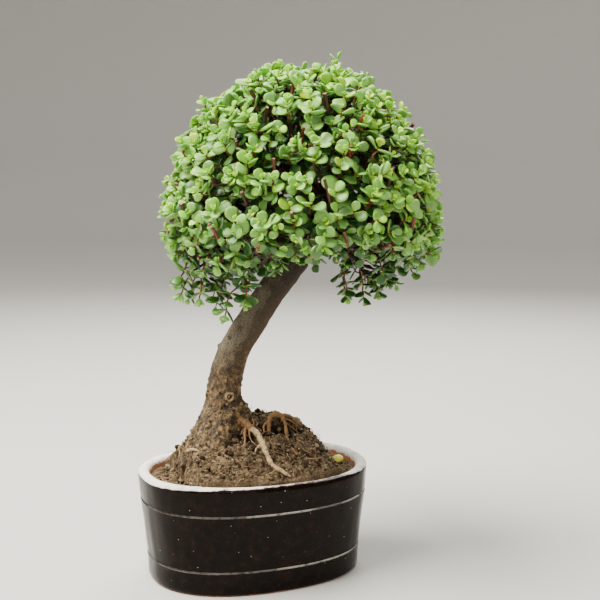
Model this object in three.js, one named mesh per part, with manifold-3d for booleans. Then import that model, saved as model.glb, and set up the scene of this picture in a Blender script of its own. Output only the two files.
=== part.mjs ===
// Jade bonsai: a leaning dwarf jade tree on a mound of soil in an oval glazed pot.
// Millimetres, +Z up. The origin is the centre of the pot's flat underside, the pot's long axis is X,
// and the trunk leans towards +X in the plane y = 0.
import * as THREE from "three";
import { mergeVertices } from "three/addons/utils/BufferGeometryUtils.js";
import Module from "manifold-3d";

const wasm = await Module();
wasm.setup();

// Driving dimensions of the pot
const SEAT_GAP = 0.3; // clearance between a piece and what carries it
const PLAN_EXPONENT = 2.3; // superellipse exponent of the pot's plan
const POT_SIDES = 36;
const POT_HALF_LENGTH = 95;
const POT_HALF_WIDTH = 72.4;
const POT_HEIGHT = 88;
const FLOOR_THICKNESS = 10;
const GROOVE_HEIGHTS = [19.5, 65.5];
const GROOVE_DEPTH = 0.8;
const DRAIN_HOLE_X = 40;
const DRAIN_HOLE_RADIUS = 7;
const SCREEN_RADIUS = 14;
const SCREEN_THICKNESS = 1.2;
const SCREEN_OPENING_RADIUS = 2.6;
const SCREEN_OPENING_PITCH = 5.5;

// The pot's outline from the foot up: height, and how far it lies inside the rim's outline
const POT_OUTSIDE = [
  [0, 9],
  [3, 7],
  ...groove(GROOVE_HEIGHTS[0], 6.3),
  [42, 4],
  ...groove(GROOVE_HEIGHTS[1], 1.4),
  [84, 0],
  [87, 0.9],
  [POT_HEIGHT, 2.9],
];
// The same down the inside
const INNER_WALL_TOP = [78, 9.6];
const INNER_WALL_FOOT = [20, 15.5];
const INNER_FLOOR = [FLOOR_THICKNESS, 20];
const POT_INSIDE = [[POT_HEIGHT, 6.2], [85.5, 9], INNER_WALL_TOP, INNER_WALL_FOOT, INNER_FLOOR];

// Driving dimensions of the soil
const SOIL_EDGE_HEIGHT = 81; // level of the soil along the wall
const SOIL_FRONT_RISE = 5; // the soil touches the rim at the front
const MOUND_X = 1;
const MOUND_HEIGHT = 50;
const MOUND_HALF_LENGTH = 62;
const MOUND_HALF_WIDTH = 62;
const MOUND_SHOULDER = 0.6; // share of the height lost from the middle of the mound to its steep sides
const MOUND_SIDES = [0.93, 1.06]; // where the steep sides begin and end, as shares of the half length
const MOUND_SLOPE = 0.95; // share of the height lost from the middle of the mound to the front and back
const CRUMB_HEIGHT = 1.6;
// Swells and hollows of the soil: x, y, height and spread
const TRUNK_HEEL = [-42, -2, 9, 12];
const ROOT_HOLLOW = [13, -20, -7, 4.5];
// The rings of the soil's surface, as shares of the way from the middle to the wall
const SOIL_RINGS = [1, 0.82, 0.75, 0.7, 0.62, 0.49, 0.31];

// The trunk's centre line in the plane y = 0: x, z and diameter
const TRUNK_LINE = [
  [-25.5, 98, 31],
  [-25.5, 113, 35],
  [-25.7, 126, 36],
  [-26.3, 139, 31.5],
  [-25.0, 153, 28],
  [-22.0, 169, 26.8],
  [-14.5, 187, 25.2],
  [-1.5, 206, 24.5],
  [14.0, 228, 24],
  [28.5, 245.5, 23.6],
  [41, 258, 22],
];
const TRUNK_SIDES = 10;
const TRUNK_LOBES = [0.9, 1.8, 2.2, 1.4, 0.6]; // how far the root flare stands out, from the buried end up

// Limbs and twigs
const LIMB_ANGLES = [ // azimuth and elevation from the crown's centre, in degrees
  [0, 4],
  [58, 14],
  [122, 10],
  [180, 2],
  [238, 10],
  [302, 12],
  [30, 80],
];
const LIMB_REACH = 0.34; // share of the crown's radius
const LIMB_RADII = [8.5, 4];
const TWIG_REACH = 0.56; // where the twigs end and the sprays begin
const TWIG_RADII = [4.2, 2.6];

// Exposed roots: points that a root follows, and its radius at the first and the last.
// A point with no height lies on the soil.
const HEEL_ROOT = {
  points: [
    [-19, -11, 128],
    [-13, -17.5, 125.5],
    [-8.5, -21.5, 121.8],
  ],
  radii: [4, 2.9],
};
const HEEL_HANGER = {
  points: [
    [-12.5, -18.5, 124],
    [-15.5, -22, 121],
    [-19.2, -33.5],
  ],
  radii: [1.3, 0.9],
};
const FRONT_ROOT = {
  points: [
    [-10, -20, 122.5],
    [-6.2, -24.5],
    [-5.2, -34],
    [-4.2, -45],
    [-3, -51.5],
    [2.5, -56],
    [9, -60],
  ],
  radii: [2.7, 1.7],
};
const FRONT_ROOTLET = {
  points: [
    [-5, -36],
    [-10.5, -36],
    [-13, -40],
  ],
  radii: [1.3, 0.9],
};
const ARCH_ROOT = {
  points: [
    [5.6, -20.5, 118],
    [7, -18, 127.5],
    [12.5, -15.5, 131],
    [18.6, -15.5, 130],
    [20, -19, 123.5],
    [18.4, -30, 114.5],
    [19, -45, 100],
  ],
  radii: [2, 1.5],
};
const CREST_ROOT = {
  points: [
    [15.5, -15.4, 130.8],
    [26, -10, 129.3],
    [39, -9.5, 118.5],
  ],
  radii: [1.7, 1.3],
};
const LEFT_ROOT = {
  points: [
    [-59.8, 4, 95],
    [-57.5, -9.5],
    [-52.5, -20.5],
  ],
  radii: [1.5, 1.2],
};
const BUTTRESS = {
  points: [
    [-29, 1, 139],
    [-40, 0, 123],
    [-55, -2, 100],
  ],
  radii: [8.5, 6.5],
};

// Driving dimensions of the crown
const CROWN_CENTRE = new THREE.Vector3(44, 0, 283);
const CROWN_HALF_LENGTH = 118;
const CROWN_HALF_WIDTH = 108;
const CROWN_RISE = 133; // from the crown's centre to its top
const CROWN_SKIRT = 68; // from the crown's centre down to the hanging sides
const CROWN_ARCH = 36; // from the crown's centre down to the open arch at the front and back
const SPRAY_COUNT = 35;
const SPRAYS_ABOVE = 0.68; // share of the sprays that lie above the crown's centre
const SPRAY_LOWEST = -0.76; // how far down the skirt the lowest sprays point
const SPRAY_RADIUS = 60; // every point of a spray lies this near its start
const GOLDEN_ANGLE = Math.PI * (3 - Math.sqrt(5));
const SHOOTS_PER_SPRAY = 4;
const SHOOT_SPREAD = 21; // from a spray's middle shoot to each of those round it
const SHOOT_RADIUS = 1.7;
const SHOOT_END = 0.7; // half the thickness of a shoot where its leaves join
const MIDDLE_FOOT_RADIUS = 2.2;
const OUTER_FOOT_RADIUS = 1.6;
const OUTER_FOOT_SPREAD = 8; // how far the outer shoots root from the middle of the core
const MIDDLE_TIP_DEPTH = 5; // how far under the crown's outline the shoots end
const OUTER_TIP_DEPTH = 9;
const TIP_SCATTER = 3;
const CORE_HALF_WIDTH = 19; // the faceted core of a spray, which its leaves stand out of
const CORE_HALF_DEPTH = 11;
const CORE_DEPTH = 26; // from the crown's outline down to the middle of the core
const CORE_SIZES = [1, 0.88, 0.76, 0.6]; // tried in turn until one is clear
const LEAF_LENGTH = 14.4; // a little larger than life, so that fewer leaves still cover the dome
const LEAF_HALF_WIDTH = 6.4;
const LEAF_THICKNESS = 1.6;
const LEAF_CURL = 1; // how far a leaf's tip curls up
const LEAF_TILTS = [0.9, 1.3]; // from the way a shoot faces, for its upper and its lower pair of leaves
// A leaf's edge: shares of its half width and length
const LEAF_EDGE = [
  [-1, 0.6],
  [-0.82, 1],
  [0.82, 1],
  [1, 0.6],
];
const SHOOT_SIZES = [1, 0.93, 0.85, 0.76, 0.66]; // tried in turn until one is clear
const SHOOT_TURNS = [0, 0.4, -0.4, 0.8];
const SEED = 20;

// The fallen leaf: where it lies, its size, and its outline as shares of its width and length
const FALLEN_LEAF = { x: 75, y: 8, turn: 0.5, width: 8, length: 11, thickness: 2 };
const FALLEN_LEAF_OUTLINE = [
  [-0.1, 0],
  [0.1, 0],
  [0.44, 0.36],
  [0.5, 0.72],
  [0.3, 0.94],
  [-0.3, 0.94],
  [-0.5, 0.72],
  [-0.44, 0.36],
];

// Numbers

// A repeatable random number generator (mulberry32) with values from 0 to 1.
function seededRandom(seed) {
  let state = seed >>> 0;
  return () => {
    state = (state + 0x6d2b79f5) >>> 0;
    let t = Math.imul(state ^ (state >>> 15), 1 | state);
    t = (t + Math.imul(t ^ (t >>> 7), 61 | t)) ^ t;
    return ((t ^ (t >>> 14)) >>> 0) / 4294967296;
  };
}

function smoothstep(low, high, value) {
  const t = THREE.MathUtils.clamp((value - low) / (high - low), 0, 1);
  return t * t * (3 - 2 * t);
}

function groove(height, inset) {
  return [
    [height - 1, inset],
    [height, inset + GROOVE_DEPTH],
    [height + 1, inset - 0.1],
  ];
}

// Solids

// A closed geometry as a solid that can be joined and cut.
function solidFrom(geometry) {
  const bare = geometry.clone();
  bare.deleteAttribute("normal");
  bare.deleteAttribute("uv");
  const merged = mergeVertices(bare, 1e-4);
  return new wasm.Manifold(
    new wasm.Mesh({
      numProp: 3,
      vertProperties: merged.attributes.position.array,
      triVerts: new Uint32Array(merged.index.array),
    }),
  );
}

function geometryFrom(solid) {
  const mesh = solid.getMesh();
  const geometry = new THREE.BufferGeometry();
  geometry.setAttribute("position", new THREE.BufferAttribute(mesh.vertProperties, mesh.numProp));
  geometry.setIndex(new THREE.BufferAttribute(mesh.triVerts, 1));
  geometry.computeVertexNormals();
  return geometry;
}

function joined(solids) {
  return solids.reduce((sum, solid) => sum.add(solid));
}

// The largest body of a solid, without the loose scraps that a cut leaves.
function largest(solid) {
  return solid.decompose().reduce((best, body) => (body.volume() > best.volume() ? body : best));
}

// Skins a row of rings that have the same number of points, and closes both ends.
// The points run counter-clockwise seen from the far end. An end closes on its tip, or flat without one.
function loft(rings, startTip, endTip) {
  const sides = rings[0].length;
  const vertices = rings.flat();
  const faces = [];
  for (let i = 0; i + 1 < rings.length; i++) {
    for (let j = 0; j < sides; j++) {
      const low = i * sides;
      const high = low + sides;
      const k = (j + 1) % sides;
      faces.push(low + j, low + k, high + k, low + j, high + k, high + j);
    }
  }
  const close = (first, tip, flip) => {
    const hub = tip ? vertices.push(tip) - 1 : first;
    for (let j = tip ? 0 : 1; j < (tip ? sides : sides - 1); j++) {
      const ends = [first + j, first + ((j + 1) % sides)];
      faces.push(hub, ...(flip ? ends.reverse() : ends));
    }
  };
  close(0, startTip, true);
  close((rings.length - 1) * sides, endTip, false);
  const geometry = new THREE.BufferGeometry().setFromPoints(vertices);
  geometry.setIndex(faces);
  return geometry;
}

function middle(ring) {
  return ring.reduce((sum, point) => sum.add(point), new THREE.Vector3()).divideScalar(ring.length);
}

// A round tube through the points, whose radius runs evenly from the first value to the last.
// swell(i, angle) may add to the radius, and the last ring may face a direction of its own.
function tube(points, radii, sides, { swell = () => 0, endFacing = null } = {}) {
  let side = null;
  const rings = points.map((centre, i) => {
    const before = points[Math.max(i - 1, 0)];
    const after = points[Math.min(i + 1, points.length - 1)];
    const isEnd = i === points.length - 1 && endFacing;
    const along = isEnd ? endFacing.clone() : after.clone().sub(before).normalize();
    side ??= Math.abs(along.x) < 0.7 ? new THREE.Vector3(1, 0, 0) : new THREE.Vector3(0, 1, 0);
    side = side.clone().addScaledVector(along, -side.dot(along)).normalize();
    const up = along.clone().cross(side);
    const share = points.length > 1 ? i / (points.length - 1) : 0;
    const radius = Array.isArray(radii) ? THREE.MathUtils.lerp(radii[0], radii[1], share) : radii(i);
    return Array.from({ length: sides }, (_, j) => {
      const angle = (2 * Math.PI * j) / sides;
      const reach = radius + swell(i, angle);
      return centre
        .clone()
        .addScaledVector(side, Math.cos(angle) * reach)
        .addScaledVector(up, Math.sin(angle) * reach);
    });
  });
  return solidFrom(loft(rings));
}

function curvePoints(points, count) {
  return new THREE.CatmullRomCurve3(points).getPoints(count);
}

function disc(radius, thickness, sides, x, y, z) {
  const geometry = new THREE.CylinderGeometry(radius, radius, thickness, sides);
  geometry.rotateX(Math.PI / 2);
  geometry.translate(x, y, z + thickness / 2);
  return solidFrom(geometry);
}

// Pot

function signedPower(value, power) {
  return Math.sign(value) * Math.abs(value) ** power;
}

// One ring of the pot's plan at a height, moved inwards by an inset.
function planRing(height, inset, lift = () => 0) {
  return Array.from({ length: POT_SIDES }, (_, j) => {
    const angle = (2 * Math.PI * j) / POT_SIDES;
    const x = (POT_HALF_LENGTH - inset) * signedPower(Math.cos(angle), 2 / PLAN_EXPONENT);
    const y = (POT_HALF_WIDTH - inset) * signedPower(Math.sin(angle), 2 / PLAN_EXPONENT);
    return new THREE.Vector3(x, y, height + lift(angle));
  });
}

// The hand-thrown rim rises and falls by half a millimetre round the pot.
function rimWave(height) {
  const share = smoothstep(70, POT_HEIGHT, height);
  return (angle) => share * (0.5 * Math.sin(2 * angle + 0.7) + 0.3 * Math.sin(3 * angle + 2));
}

function makePot() {
  const profile = [...POT_OUTSIDE, ...POT_INSIDE];
  const rings = profile.map(([height, inset]) => planRing(height, inset, rimWave(height)));
  const shell = solidFrom(loft(rings, middle(rings[0]), middle(rings.at(-1))));
  const drain = (x) => disc(DRAIN_HOLE_RADIUS, FLOOR_THICKNESS + 2, 12, x, 0, -1);
  return shell.subtract(drain(-DRAIN_HOLE_X)).subtract(drain(DRAIN_HOLE_X));
}

// A plastic screen with five openings, laid over a drain hole.
function makeScreen(x) {
  const base = FLOOR_THICKNESS + SEAT_GAP;
  const places = [
    [0, 0],
    [1, 0],
    [-1, 0],
    [0, 1],
    [0, -1],
  ];
  const openings = places.map(([across, along]) => {
    const centre = [x + across * SCREEN_OPENING_PITCH, along * SCREEN_OPENING_PITCH];
    return disc(SCREEN_OPENING_RADIUS, SCREEN_THICKNESS + 2, 4, ...centre, base - 1);
  });
  return disc(SCREEN_RADIUS, SCREEN_THICKNESS, 12, x, 0, base).subtract(joined(openings));
}

// Soil

function swelling(x, y, [centreX, centreY, height, spread]) {
  return height * Math.exp(-((x - centreX) ** 2 + (y - centreY) ** 2) / (2 * spread ** 2));
}

// Height of the soil at a point of the plan: a steep-sided mound that slopes gently to the front and back.
function soilHeight(x, y) {
  const across = Math.abs((x - MOUND_X) / MOUND_HALF_LENGTH);
  const along = Math.min(1, Math.abs(y / MOUND_HALF_WIDTH));
  const forward = THREE.MathUtils.clamp(-y / MOUND_HALF_WIDTH, 0, 1);
  const shoulder = 1 - MOUND_SHOULDER * Math.min(across, MOUND_SIDES[1]) ** 2.2;
  const side = 1 - smoothstep(...MOUND_SIDES, across);
  const mound = MOUND_HEIGHT * shoulder * side * (1 - MOUND_SLOPE * along ** 1.5);
  const coarse = Math.sin(x / 4.1 + y / 6.3) * Math.sin(y / 3.7 - x / 8);
  const fine = 0.6 * Math.sin(x / 2.6) * Math.sin(y / 2.9 + 1);
  const crumbs = CRUMB_HEIGHT * (coarse + fine) * Math.min(1, mound / 10);
  const level = SOIL_EDGE_HEIGHT + SOIL_FRONT_RISE * forward ** 2;
  return level + mound + swelling(x, y, TRUNK_HEEL) + swelling(x, y, ROOT_HOLLOW) + crumbs;
}

// The soil fills the pot, with a clearance all round, and has plain holes for what stands in it.
function makeSoil(cutters) {
  const [, edgeInset] = INNER_WALL_TOP;
  const [wallHeight, wallInset] = INNER_WALL_FOOT;
  const [floorHeight, floorInset] = INNER_FLOOR;
  const side = [
    planRing(floorHeight + SEAT_GAP, floorInset + SEAT_GAP),
    planRing(wallHeight, wallInset + SEAT_GAP),
  ];
  const edge = planRing(0, edgeInset + SEAT_GAP);
  const top = SOIL_RINGS.map((share) =>
    edge.map((point) => {
      const x = point.x * share;
      const y = point.y * share;
      return new THREE.Vector3(x, y, soilHeight(x, y));
    }),
  );
  const middlePoint = new THREE.Vector3(0, 0, soilHeight(0, 0));
  const block = solidFrom(loft([...side, ...top], undefined, middlePoint));
  return cutters.reduce((soil, cutter) => soil.subtract(cutter), block);
}

// Trunk and roots

// The trunk from its buried end to where it forks, with the buttress at its left.
function trunkStem(extra) {
  const points = TRUNK_LINE.map(([x, z]) => new THREE.Vector3(x, 0, z));
  points[0].z -= extra;
  const swell = (i, angle) => (TRUNK_LOBES[i] ?? 0) * Math.cos(3 * angle + 0.8) + extra;
  const stem = tube(points, (i) => TRUNK_LINE[i][2] / 2, TRUNK_SIDES, { swell });
  return stem.add(rootTube(BUTTRESS, extra, 3, 6));
}

// A root's points in space. A point with no height lies on the soil, a little sunk in.
function pathPoints({ points, radii }) {
  return points.map(([x, y, z]) => new THREE.Vector3(x, y, z ?? soilHeight(x, y) + 0.3 * radii[0]));
}

function rootTube(root, extra, steps, sides) {
  return tube(curvePoints(pathPoints(root), steps), root.radii.map((radius) => radius + extra), sides);
}

// A root and its side roots, larger all round by extra.
function rootSolid(branches, extra) {
  return joined(branches.map((branch) => rootTube(branch, extra, branch.points.length - 1, 5)));
}

// Crown

// A point on the crown's outline in a direction. The underside hangs lower at the left and right.
function crownSurface(direction) {
  const flat = Math.hypot(direction.x, direction.y) || 1;
  const skirt = THREE.MathUtils.lerp(CROWN_ARCH, CROWN_SKIRT, (direction.x / flat) ** 2);
  return new THREE.Vector3(
    CROWN_HALF_LENGTH * direction.x,
    CROWN_HALF_WIDTH * direction.y,
    (direction.z > 0 ? CROWN_RISE : skirt) * direction.z,
  );
}

// The direction of spray i. The sprays step down from the top, each turned by the golden angle from the
// last, and the steps are wider below the crown's centre.
function sprayDirection(i) {
  const share = (i + 0.4) / SPRAY_COUNT;
  const below = (share - SPRAYS_ABOVE) / (1 - SPRAYS_ABOVE);
  const z = share < SPRAYS_ABOVE ? 1 - share / SPRAYS_ABOVE : SPRAY_LOWEST * below;
  const flat = Math.sqrt(1 - z * z);
  return new THREE.Vector3(flat * Math.cos(i * GOLDEN_ANGLE), flat * Math.sin(i * GOLDEN_ANGLE), z);
}

function crownPoint(direction, share) {
  return crownSurface(direction).multiplyScalar(share).add(CROWN_CENTRE);
}

function limbDirection([azimuth, elevation]) {
  const a = THREE.MathUtils.degToRad(azimuth);
  const e = THREE.MathUtils.degToRad(elevation);
  return new THREE.Vector3(Math.cos(a) * Math.cos(e), Math.sin(a) * Math.cos(e), Math.sin(e));
}

function limbCurve(direction) {
  const [x, z] = TRUNK_LINE.at(-1);
  const start = new THREE.Vector3(x - 5, 0, z - 6);
  const rise = new THREE.Vector3(x, 0, z + 4).addScaledVector(direction, 6);
  return new THREE.CatmullRomCurve3([start, rise, crownPoint(direction, LIMB_REACH)]);
}

// The twig that carries a spray grows from the limb that points most nearly its way.
function twigTube(direction, limbs, random) {
  const nearness = (limb) => limb.direction.dot(direction);
  const limb = limbs.reduce((best, one) => (nearness(one) > nearness(best) ? one : best));
  const start = limb.curve.getPoint(0.6 + 0.35 * random());
  const end = crownPoint(direction, TWIG_REACH);
  const arrival = crownSurface(direction).normalize();
  const bend = end.clone().addScaledVector(arrival, -0.45 * start.distanceTo(end));
  const points = new THREE.QuadraticBezierCurve3(start, bend, end).getPoints(2);
  return tube(points, TWIG_RADII, 3, { endFacing: arrival });
}

function makeTrunk(directions, random) {
  const limbs = LIMB_ANGLES.map((angles) => {
    const direction = limbDirection(angles);
    return { direction, curve: limbCurve(direction) };
  });
  const limbTubes = limbs.map(({ curve }) => tube(curve.getPoints(2), LIMB_RADII, 6));
  const twigs = directions.map((direction) => twigTube(direction, limbs, random));
  return joined([trunkStem(0), ...limbTubes, ...twigs]);
}

// Any direction at right angles to the one given.
function sideways(direction) {
  const helper = Math.abs(direction.z) < 0.9 ? new THREE.Vector3(0, 0, 1) : new THREE.Vector3(1, 0, 0);
  return helper.cross(direction).normalize();
}

// One shoot with four fleshy leaves, as one closed skin: a square stem from its foot to its tip, whose
// four top sides each grow into a round leaf, in two pairs set crosswise, the lower pair spread wider.
// Extra makes it larger all round.
function leafyShoot({ foot, footRadius, facing, tip, face, twist, tilts, scale }, extra = 0) {
  const vertices = [];
  const faces = [];
  const add = (point) => vertices.push(point) - 1;
  const fan = (hub, ...rim) => rim.slice(1).forEach((point, i) => faces.push(hub, rim[i], point));
  const first = sideways(face);
  const around = (quarters) => first.clone().applyAxisAngle(face, twist + (quarters * Math.PI) / 2);
  const turnToFoot = new THREE.Quaternion().setFromUnitVectors(face, facing);
  const square = (centre, radius, turn = new THREE.Quaternion()) =>
    [0, 1, 2, 3].map((k) => {
      const corner = around(k).applyQuaternion(turn);
      return add(centre.clone().addScaledVector(corner, radius + extra));
    });
  const bottom = square(foot, footRadius, turnToFoot);
  const under = square(tip.clone().addScaledVector(face, -SHOOT_END - extra), SHOOT_RADIUS);
  const over = square(tip.clone().addScaledVector(face, SHOOT_END + extra), SHOOT_RADIUS);
  fan(bottom[0], bottom[3], bottom[2], bottom[1]);
  fan(...over);
  for (let k = 0; k < 4; k++) {
    const n = (k + 1) % 4;
    const outward = around(k + 0.5);
    const across = face.clone().cross(outward);
    const pointing = face.clone().multiplyScalar(Math.cos(tilts[k]));
    pointing.addScaledVector(outward, Math.sin(tilts[k]));
    const up = pointing.clone().cross(across);
    const leafPoint = (side, along, rise) => {
      const point = tip.clone().addScaledVector(across, side * (LEAF_HALF_WIDTH * scale + extra));
      point.addScaledVector(pointing, along * (LEAF_LENGTH * scale + extra));
      return add(point.addScaledVector(up, rise + LEAF_CURL * along * along));
    };
    const edge = LEAF_EDGE.map(([side, along]) => leafPoint(side, along, 0));
    const crown = leafPoint(0, LEAF_EDGE[0][1], LEAF_THICKNESS + extra);
    fan(bottom[k], bottom[n], under[n], under[k]);
    fan(crown, over[k], ...edge, over[n], over[k]);
    fan(under[k], under[n], ...edge.toReversed());
    fan(under[k], edge[0], over[k]);
    fan(under[n], over[n], edge.at(-1));
  }
  const geometry = new THREE.BufferGeometry().setFromPoints(vertices);
  geometry.setIndex(faces);
  return solidFrom(geometry);
}

// The shoots of a spray: the middle one carries on from the twig's end, and the others stand round it.
function sprayShoots(direction, random) {
  const arrival = crownSurface(direction).normalize();
  const start = crownPoint(direction, TWIG_REACH).addScaledVector(arrival, SEAT_GAP);
  const depth = crownPoint(direction, 1).distanceTo(start);
  const centre = start.clone().addScaledVector(arrival, depth - CORE_DEPTH);
  const turn = random() * Math.PI * 2;
  const shoots = Array.from({ length: SHOOTS_PER_SPRAY }, (_, k) => {
    const inMiddle = k === 0;
    const spread = sideways(arrival);
    spread.applyAxisAngle(arrival, turn + (k * 2 * Math.PI) / (SHOOTS_PER_SPRAY - 1));
    const reach = inMiddle ? 0 : SHOOT_SPREAD * (0.92 + 0.16 * random());
    const height = depth - (inMiddle ? MIDDLE_TIP_DEPTH : OUTER_TIP_DEPTH) - TIP_SCATTER * random();
    const tip = start.clone().addScaledVector(arrival, height).addScaledVector(spread, reach);
    const foot = inMiddle ? start : centre.clone().addScaledVector(spread, OUTER_FOOT_SPREAD);
    const growth = tip.clone().sub(foot).normalize();
    const face = growth.clone().addScaledVector(arrival, 0.6);
    face.z += 0.3;
    face.normalize();
    return {
      foot,
      footRadius: inMiddle ? MIDDLE_FOOT_RADIUS : OUTER_FOOT_RADIUS,
      facing: inMiddle ? arrival : growth,
      tip,
      face,
      tilts: [0, 1, 2, 3].map((n) => LEAF_TILTS[n % 2] + 0.1 * (random() - 0.5)),
      twist: random() * Math.PI,
      scale: 0.92 + 0.16 * random(),
    };
  });
  return { start, arrival, centre, turn, shoots };
}

// The core of a spray, a small faceted lump across the way the spray grows.
function sprayCore({ centre, arrival, turn }, scale) {
  const geometry = new THREE.IcosahedronGeometry(scale, 0);
  geometry.rotateZ(turn);
  geometry.scale(CORE_HALF_WIDTH, CORE_HALF_WIDTH, CORE_HALF_DEPTH);
  geometry.applyQuaternion(new THREE.Quaternion().setFromUnitVectors(new THREE.Vector3(0, 0, 1), arrival));
  geometry.translate(centre.x, centre.y, centre.z);
  return solidFrom(geometry);
}

// Draws a shoot as planned, or else turned, drawn in or smaller, until it clears everything near it.
function clearShoot(shoot, isClear) {
  for (const scale of SHOOT_SIZES) {
    for (const turn of SHOOT_TURNS) {
      const tip = shoot.tip.clone().lerp(shoot.foot, 0.3 * (1 - scale));
      const tried = { ...shoot, tip, twist: shoot.twist + turn, scale: shoot.scale * scale };
      if (isClear(leafyShoot(tried, SEAT_GAP / 2))) return leafyShoot(tried);
    }
  }
  return null;
}

// Grows the middle shoots and the cores first, then the other shoots one at a time, each clear of the rest.
function makeSprays(directions, trunk, random) {
  const sprays = directions.map((direction) => sprayShoots(direction, random));
  const clearOfOthers = (spray) => {
    const isNear = (other) => other.solid && other.start.distanceTo(spray.start) < 2 * SPRAY_RADIUS;
    const near = sprays.filter((other) => other !== spray && isNear(other));
    return (solid) => near.every((other) => solid.intersect(other.solid).isEmpty());
  };
  const clearOfTrunk = (solid) => solid.intersect(trunk).isEmpty();
  for (const spray of sprays) {
    const isClear = clearOfOthers(spray);
    spray.solid = clearShoot(spray.shoots[0], isClear);
    const size = CORE_SIZES.find((scale) => {
      const core = sprayCore(spray, scale * 1.05);
      return isClear(core) && clearOfTrunk(core);
    });
    if (size) spray.solid = spray.solid.add(sprayCore(spray, size));
  }
  for (let k = 1; k < SHOOTS_PER_SPRAY; k++) {
    for (const spray of sprays) {
      const isClear = clearOfOthers(spray);
      const grown = clearShoot(spray.shoots[k], (solid) => isClear(solid) && clearOfTrunk(solid));
      if (grown) spray.solid = spray.solid.add(grown);
    }
  }
  return sprays.map(({ solid }) => largest(solid));
}

// A fallen leaf on the level soil by the wall, resting on its flat underside.
function makeFallenLeaf({ x, y, turn, width, length, thickness }) {
  const ring = (share, height) =>
    FALLEN_LEAF_OUTLINE.map(([across, along]) => {
      const middled = (along - 0.5) * length;
      return new THREE.Vector3(across * width * share, middled * share, height);
    });
  const geometry = loft([ring(0.6, 0), ring(1, 0.45 * thickness), ring(0.6, thickness)]);
  geometry.rotateZ(turn);
  geometry.translate(x, y, SOIL_EDGE_HEIGHT + SEAT_GAP);
  return solidFrom(geometry);
}

// Scene graph

function material(color, roughness, metalness = 0) {
  return new THREE.MeshStandardMaterial({ color, roughness, metalness });
}

const MATERIALS = {
  glaze: material(0x1d1210, 0.22),
  screen: material(0x23262a, 0.6),
  soil: material(0x6b5138, 0.95),
  bark: material(0x8d7f6d, 0.85),
  paleRoot: material(0xb59a72, 0.8),
  brownRoot: material(0x8a5a30, 0.8),
  yellowLeaf: material(0xc9b53a, 0.5),
  leaf: material(0x6f9a3e, 0.4),
};

const group = new THREE.Group();

function addPiece(name, solid, finish) {
  const mesh = new THREE.Mesh(geometryFrom(solid), finish);
  mesh.name = name;
  group.add(mesh);
}

const random = seededRandom(SEED);
const roots = [
  { name: "root_heel", branches: [HEEL_ROOT, HEEL_HANGER], finish: MATERIALS.brownRoot },
  { name: "root_front", branches: [FRONT_ROOT, FRONT_ROOTLET], finish: MATERIALS.paleRoot },
  { name: "root_arch", branches: [ARCH_ROOT, CREST_ROOT], finish: MATERIALS.brownRoot },
  { name: "root_left", branches: [LEFT_ROOT], finish: MATERIALS.paleRoot },
];
const drains = [
  { name: "drain_screen_left", x: -DRAIN_HOLE_X },
  { name: "drain_screen_right", x: DRAIN_HOLE_X },
];
const screenPockets = drains.map(({ x }) =>
  disc(SCREEN_RADIUS + SEAT_GAP, SCREEN_THICKNESS + 2 * SEAT_GAP, 12, x, 0, FLOOR_THICKNESS),
);
const rootGrooves = roots.map(({ branches }) => rootSolid(branches, SEAT_GAP));
const directions = Array.from({ length: SPRAY_COUNT }, (_, i) => sprayDirection(i));
const trunk = makeTrunk(directions, random);

addPiece("pot", makePot(), MATERIALS.glaze);
drains.forEach(({ name, x }) => addPiece(name, makeScreen(x), MATERIALS.screen));
addPiece("soil", makeSoil([trunkStem(SEAT_GAP), ...rootGrooves, ...screenPockets]), MATERIALS.soil);
addPiece("trunk", trunk, MATERIALS.bark);
let taken = trunkStem(SEAT_GAP);
roots.forEach(({ name, branches, finish }, i) => {
  addPiece(name, largest(rootSolid(branches, 0).subtract(taken)), finish);
  taken = taken.add(rootGrooves[i]);
});
addPiece("fallen_leaf", makeFallenLeaf(FALLEN_LEAF), MATERIALS.yellowLeaf);
makeSprays(directions, trunk, random).forEach((solid, i) => {
  addPiece(`spray_${String(i + 1).padStart(2, "0")}`, solid, MATERIALS.leaf);
});

export default group;
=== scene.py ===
"""Jade bonsai: a leaning dwarf jade tree on a mound of soil in an oval glazed pot.

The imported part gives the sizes. This scene replaces its solids with finer pieces of the same form.
Sizes are written in millimetres and turned to metres where a mesh is made.
"""

import logging
import math
import random
from collections.abc import Callable, Iterable, Sequence
from dataclasses import dataclass, field
from enum import Enum
from functools import partial

import bpy
import numpy as np
from mathutils import Matrix, Vector, noise

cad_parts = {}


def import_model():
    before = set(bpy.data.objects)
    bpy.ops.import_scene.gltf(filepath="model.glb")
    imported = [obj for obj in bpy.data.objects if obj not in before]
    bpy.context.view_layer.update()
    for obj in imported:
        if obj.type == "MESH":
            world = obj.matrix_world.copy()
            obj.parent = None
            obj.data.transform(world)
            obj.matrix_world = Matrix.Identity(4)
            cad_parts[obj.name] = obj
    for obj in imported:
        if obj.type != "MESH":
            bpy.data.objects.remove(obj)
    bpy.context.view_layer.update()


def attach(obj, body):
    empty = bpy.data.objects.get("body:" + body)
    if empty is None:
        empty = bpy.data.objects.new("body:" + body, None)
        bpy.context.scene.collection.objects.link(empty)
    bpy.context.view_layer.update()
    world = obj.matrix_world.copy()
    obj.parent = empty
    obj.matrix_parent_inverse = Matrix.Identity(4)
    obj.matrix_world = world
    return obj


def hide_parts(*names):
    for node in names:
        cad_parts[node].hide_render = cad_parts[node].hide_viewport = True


MM = 0.001
LOG = logging.getLogger("jade_bonsai")
# The pot's main sizes in millimetres, which its finish, its screens and its soil share
POT_HEIGHT = 88.0
POT_FLOOR = 10.0
GROOVE_HEIGHTS = (19.5, 65.5)
DRAIN_X = 40.0
Triple = tuple[float, float, float]
Pair = tuple[float, float]
# What a shader node's inputs take, by name or in their order
Sockets = dict[str, object] | Sequence[object]


# Small tools


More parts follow.
